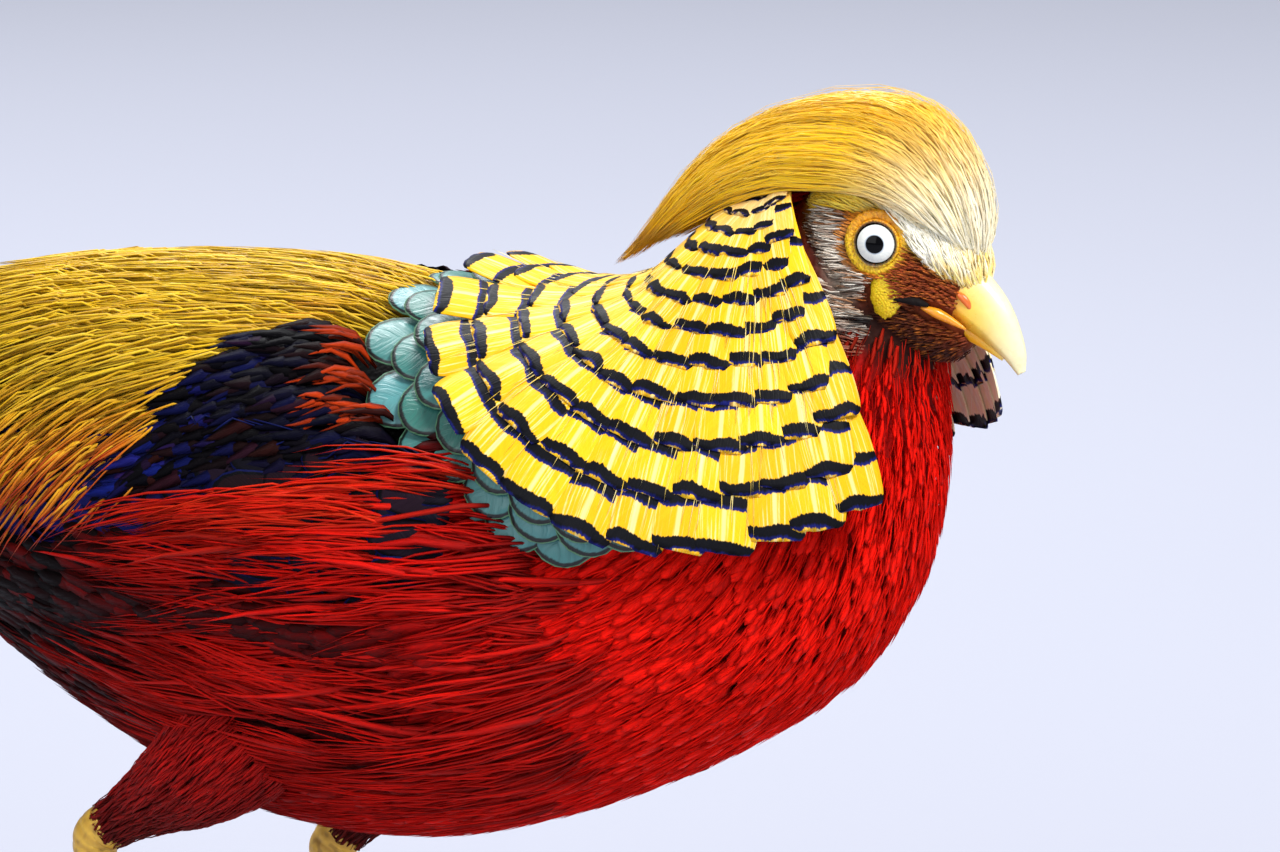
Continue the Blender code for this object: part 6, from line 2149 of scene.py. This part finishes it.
@dataclass
class Leg:
    """One leg: feathered thigh, scaled shank and foot, spur and claws."""

    side: Side
    hip: tuple
    knee: tuple
    ankle: tuple
    foot: tuple
    drumstick: tuple = ((0.0, 17), (0.3, 17), (0.55, 13.6), (0.8, 8.6), (0.93, 6.6), (1.0, 6.0))
    shank_radii: tuple = (5.8, 5.8, 5.7, 5.3, 4.6, 3.9, 3.3, 3.1, 3.7, 4.3)
    # Name, turn outwards in degrees, length, radius
    toes: tuple = (("inner", -27, 29, 3.0), ("middle", 0, 41, 3.3), ("outer", 27, 31, 3.0), ("hind", 172, 13, 2.5))
    claw: tuple = ((-1.2, 0.1, 1.75), (0, 0, 1.6), (3, 0.5, 1.4), (6, -0.2, 0.9), (8.2, -1.2, 0.2))
    spur: tuple = ((1.6, 0, 2.6), (2.6, 0, 2.2), (5.8, 0, 1.6), (9.1, 1, 0.3))
    palm_height: float = 4.6
    voxel: float = 0.55

    def point(self, place: tuple) -> Array:
        """A place of the leg on its own side."""
        return np.array((place[0], place[1] * self.side.value, place[2]), float)

    def meet(self) -> Array:
        """Where the thigh's feathers end, above the ankle."""
        knee, ankle = self.point(self.knee), self.point(self.ankle)
        return ankle - unit(ankle - knee) * 7

    def thigh_rings(self, grow: float = 0.0) -> Array:
        """Rings of the drumstick from hip to ankle."""
        hip, knee, meet = self.point(self.hip), self.point(self.knee), self.meet()
        line = [mix(hip, knee, t * 2) if t < 0.5 else mix(knee, meet, t * 2 - 1) for t, _ in self.drumstick]
        return limb(np.array(line), [r + grow for _, r in self.drumstick], 28, 40)

    def shank_line(self) -> Array:
        """The shank's middle line: out of the thigh, round the ankle and down to the foot."""
        knee, ankle, foot, meet = self.point(self.knee), self.point(self.ankle), self.point(self.foot), self.meet()
        way = unit(meet - knee)
        start = meet + way * 2
        end = ankle + unit(foot - ankle) * 9
        line = [meet - way * 1.5, start]
        for share in (0.3, 0.6, 0.9):
            line.append(mix(mix(start, ankle, share), mix(ankle, end, share), share))
        return np.array(line + [mix(ankle, foot, share) for share in (0.2, 0.38, 0.65, 0.82, 0.9)])

    def build(self, bird: Bird) -> None:
        """Makes the leg's pieces."""
        word = self.side.word
        self.feathers(bird, word)
        yellow, ochre = linear(222, 176, 60), linear(176, 126, 40)

        def marks(points: Array) -> Array:
            """Yellow and ochre in narrow bands up the leg."""
            tone = 0.5 + 0.5 * np.sin(points[:, 2] * 1.9 + points[:, 0])
            return blend(yellow, ochre, tone * 0.5)

        line = self.shank_line()
        rings = limb(line, self.shank_radii, 24, 110)
        middles = rings.mean(axis=1, keepdims=True)
        run = np.cumsum(np.linalg.norm(np.diff(middles[:, 0], axis=0, prepend=middles[:1, 0]), axis=1))
        turn = np.arange(24) / 24 * 2 * math.pi
        scute = np.abs(np.sin(run[:, None] * math.pi / 3.2 + (np.sin(turn) > 0) * 1.57)) ** 0.35
        rings = middles + (rings - middles) * (0.965 + 0.05 * scute)[..., None]
        bird.shop.solid("shank_scales_" + word, loft(rings), SCALES, "leg_skin", ("shank_" + word,), marks)
        brown, grey = linear(92, 66, 40), linear(150, 120, 80)
        ankle, foot = self.point(self.ankle), self.point(self.foot)
        down = unit(foot - ankle)
        out = unit(np.array((-abs(down[2]), -self.side.value * 0.45, -abs(down[0]))))
        place = mix(ankle, foot, 0.6)
        points = np.array([place + out * a + UP * u for a, u, _ in self.spur])
        bird.shop.solid(
            "spur_horn_" + word, loft(limb(points, [r for *_, r in self.spur], 16, 22)), CLAW, "claw",
            ("spur_" + word,), grey,
        )
        parts = []
        low = unit(line[-1] - line[-2])
        middle = np.array((foot[0], foot[1], self.palm_height))
        palm = np.array([line[-1] - low, line[-1] + low * 2.5, mix(line[-1], middle, 0.8), middle - UP * 2.3])
        parts.append(limb(palm, (4.3, 4.4, 5.0, 4.4), 24, 24))
        for name, turned, length, radius in self.toes:
            angle = math.radians(turned) * self.side.value
            ahead = np.array((math.cos(angle), math.sin(angle), 0))
            start = np.array((middle[0], middle[1], radius * 0.86))
            points = np.array([start + ahead * length * a for a in (0, 0.3, 0.65, 1.0)])
            points[-1] -= UP * radius / 10
            rings = limb(points, [radius * w for w in (1.0, 1.08, 0.96, 0.74)], 20, 70)
            middles = rings.mean(axis=1, keepdims=True)
            far = np.linspace(0, length, 70)
            pads = 1 + 0.07 * np.sin(far / length * math.pi * (2 if name == "hind" else 3)) ** 2
            scute = np.abs(np.sin(far * math.pi / 2.3)) ** 0.4
            rings = middles + (rings - middles) * ((0.955 + 0.06 * scute) * pads)[:, None, None]
            parts.append(rings)
            tip = points[-1] + ahead * 0.3
            claw = np.array([tip + ahead * a + UP * u for a, u, _ in self.claw])
            bird.shop.solid(
                "claw_horn_%s_%s" % (name, word), loft(limb(claw, [r for *_, r in self.claw], 14, 22)), CLAW,
                "claw", ("claw_%s_%s" % (name, word),), brown,
            )
        sole = one_surface(parts, self.voxel)
        for vert in sole.vertices:
            vert.co.z = max(vert.co.z, 0.0)
        bird.shop.finish("foot_scales_" + word, sole, SCALES, "leg_skin", ("foot_" + word,), marks)

    def feathers(self, bird: Bird, word: str) -> None:
        """The short maroon plumage of the thigh."""
        rough = bird.chance(91 + self.side.value)
        surface = Surface(self.thigh_rings(-0.6))
        starts, headings = surface.scatter(1.35, rough)
        inside, _, _ = bird.trunk.near(starts)
        centre = bird.trunk.grid.mean(axis=1)
        nearest = centre[np.argmin(np.linalg.norm(starts[:, None] - centre[None, ::4], axis=2), axis=1) * 4]
        deep = np.linalg.norm(starts - nearest, axis=1) - np.linalg.norm(inside - nearest, axis=1)
        keep = deep > -3
        starts, headings = starts[keep], headings[keep]
        count = len(starts)
        headings = unit(-headings + np.array((-0.1, 0, -0.1)) + 0.2 * (rough.random((count, 3)) - 0.5))
        lie = surface.march(starts, headings, mix(6, 11, rough.random(count)), 3)
        marks = STRAND.stops
        lift = -0.9 + ease(marks, 0, 0.5) * mix(0.5, 1.7, rough.random((count, 1)))
        red, dark = linear(176, 12, 6), linear(66, 8, 6)
        low = ease(starts[:, 2], 122, 88)
        colours = shade(blend(red, dark, low * 0.9), rough, 0.3)
        tint = np.stack([colours * mix(0.6, 1.15, m) for m in marks], 1)
        coat = Coat("thigh_coat_" + word, rough)
        coat.add(STRAND, lie, mix(0.3, 0.6, rough.random(count)), 0.3, lift, tint, 0.3)
        coat.build(bird.shop, THIGH, "thigh_plumage", ("thigh_" + word,))


@dataclass
class Studio:
    """A pale floor, soft lights and a camera at the photograph's angle."""

    azimuth: float = 25.0
    elevation: float = 12.0
    distance: float = 2.4
    lens: float = 287.0
    aim: tuple = (30.0, 0.0, 196.0)

    def build(self, bird: Bird) -> None:
        """Sets the stage."""
        floor = bmesh.new()
        bmesh.ops.create_circle(floor, segments=96, radius=9.0, cap_ends=True)
        mesh = bpy.data.meshes.new("floor")
        floor.to_mesh(mesh)
        floor.free()
        mesh.materials.append(bird.shop.finishes.get(Backdrop()))
        sheet = bpy.data.objects.new("floor", mesh)
        bpy.context.scene.collection.objects.link(sheet)
        target = Vector(bird.shop.to_frame(np.array(self.aim)).tolist())
        a, e = math.radians(self.azimuth), math.radians(self.elevation)
        back = Vector((math.sin(a) * math.cos(e), -math.cos(a) * math.cos(e), math.sin(e)))
        right = Vector((math.cos(a), math.sin(a), 0))
        data = bpy.data.cameras.new("camera")
        data.lens = self.lens
        data.sensor_width = 36.0
        camera = bpy.data.objects.new("camera", data)
        camera.location = target + back * self.distance
        camera.rotation_euler = back.to_track_quat("Z", "Y").to_euler()
        bpy.context.scene.collection.objects.link(camera)
        bpy.context.scene.camera = camera
        up = Vector((0, 0, 1))
        lights = (
            ("key", right * 0.9 + back * 1.3 + up * 1.5, 0.7, 66, (1.0, 0.98, 0.95)),
            ("fill", back * 1.7 - right * 1.3 + up * 0.5, 1.6, 17, (0.95, 0.97, 1.0)),
            ("rim", up * 1.7 - back * 1.3 - right * 0.3, 0.9, 36, (0.97, 0.98, 1.0)),
        )
        for name, place, size, energy, colour in lights:
            lamp = bpy.data.lights.new(name, "AREA")
            lamp.size = size
            lamp.energy = energy
            lamp.color = colour
            light = bpy.data.objects.new(name, lamp)
            light.location = target + place
            light.rotation_euler = place.to_track_quat("Z", "Y").to_euler()
            bpy.context.scene.collection.objects.link(light)
        world = bpy.data.worlds.new("studio")
        world.use_nodes = True
        world.node_tree.nodes["Background"].inputs["Color"].default_value = (0.78, 0.79, 0.84, 1)
        world.node_tree.nodes["Background"].inputs["Strength"].default_value = 0.48
        bpy.context.scene.world = world
        bpy.context.scene.view_settings.view_transform = "Standard"


def main() -> None:
    """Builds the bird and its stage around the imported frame."""
    logging.basicConfig(level=logging.INFO, format="%(message)s")
    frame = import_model()
    logging.info("frame: %s", type(frame).__name__)
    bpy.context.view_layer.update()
    bird = Bird(Workshop(Finishes(Effects())))
    crest = Crest()
    legs = [
        Leg(Side.RIGHT, (-50, 32, 128), (-66, 37, 112), (-100, 34, 90), (-66, 33, 7)),
        Leg(Side.LEFT, (-36, 32, 124), (-42, 37, 106), (-71, 34, 74), (-33, 33, 7)),
    ]
    Studio().build(bird)
    Skin().build(bird, legs, crest)
    Breast().build(bird)
    Flanks().build(bird)
    Back().build(bird)
    Cape().build(bird)
    Mantle().build(bird)
    for side in Side:
        Wing(side).build(bird)
        Eye(side).build(bird)
    crest.build(bird)
    Face().build(bird)
    Bill().build(bird)
    Tail().build(bird)
    for leg in legs:
        leg.build(bird)


if __name__ == "__main__":
    main()
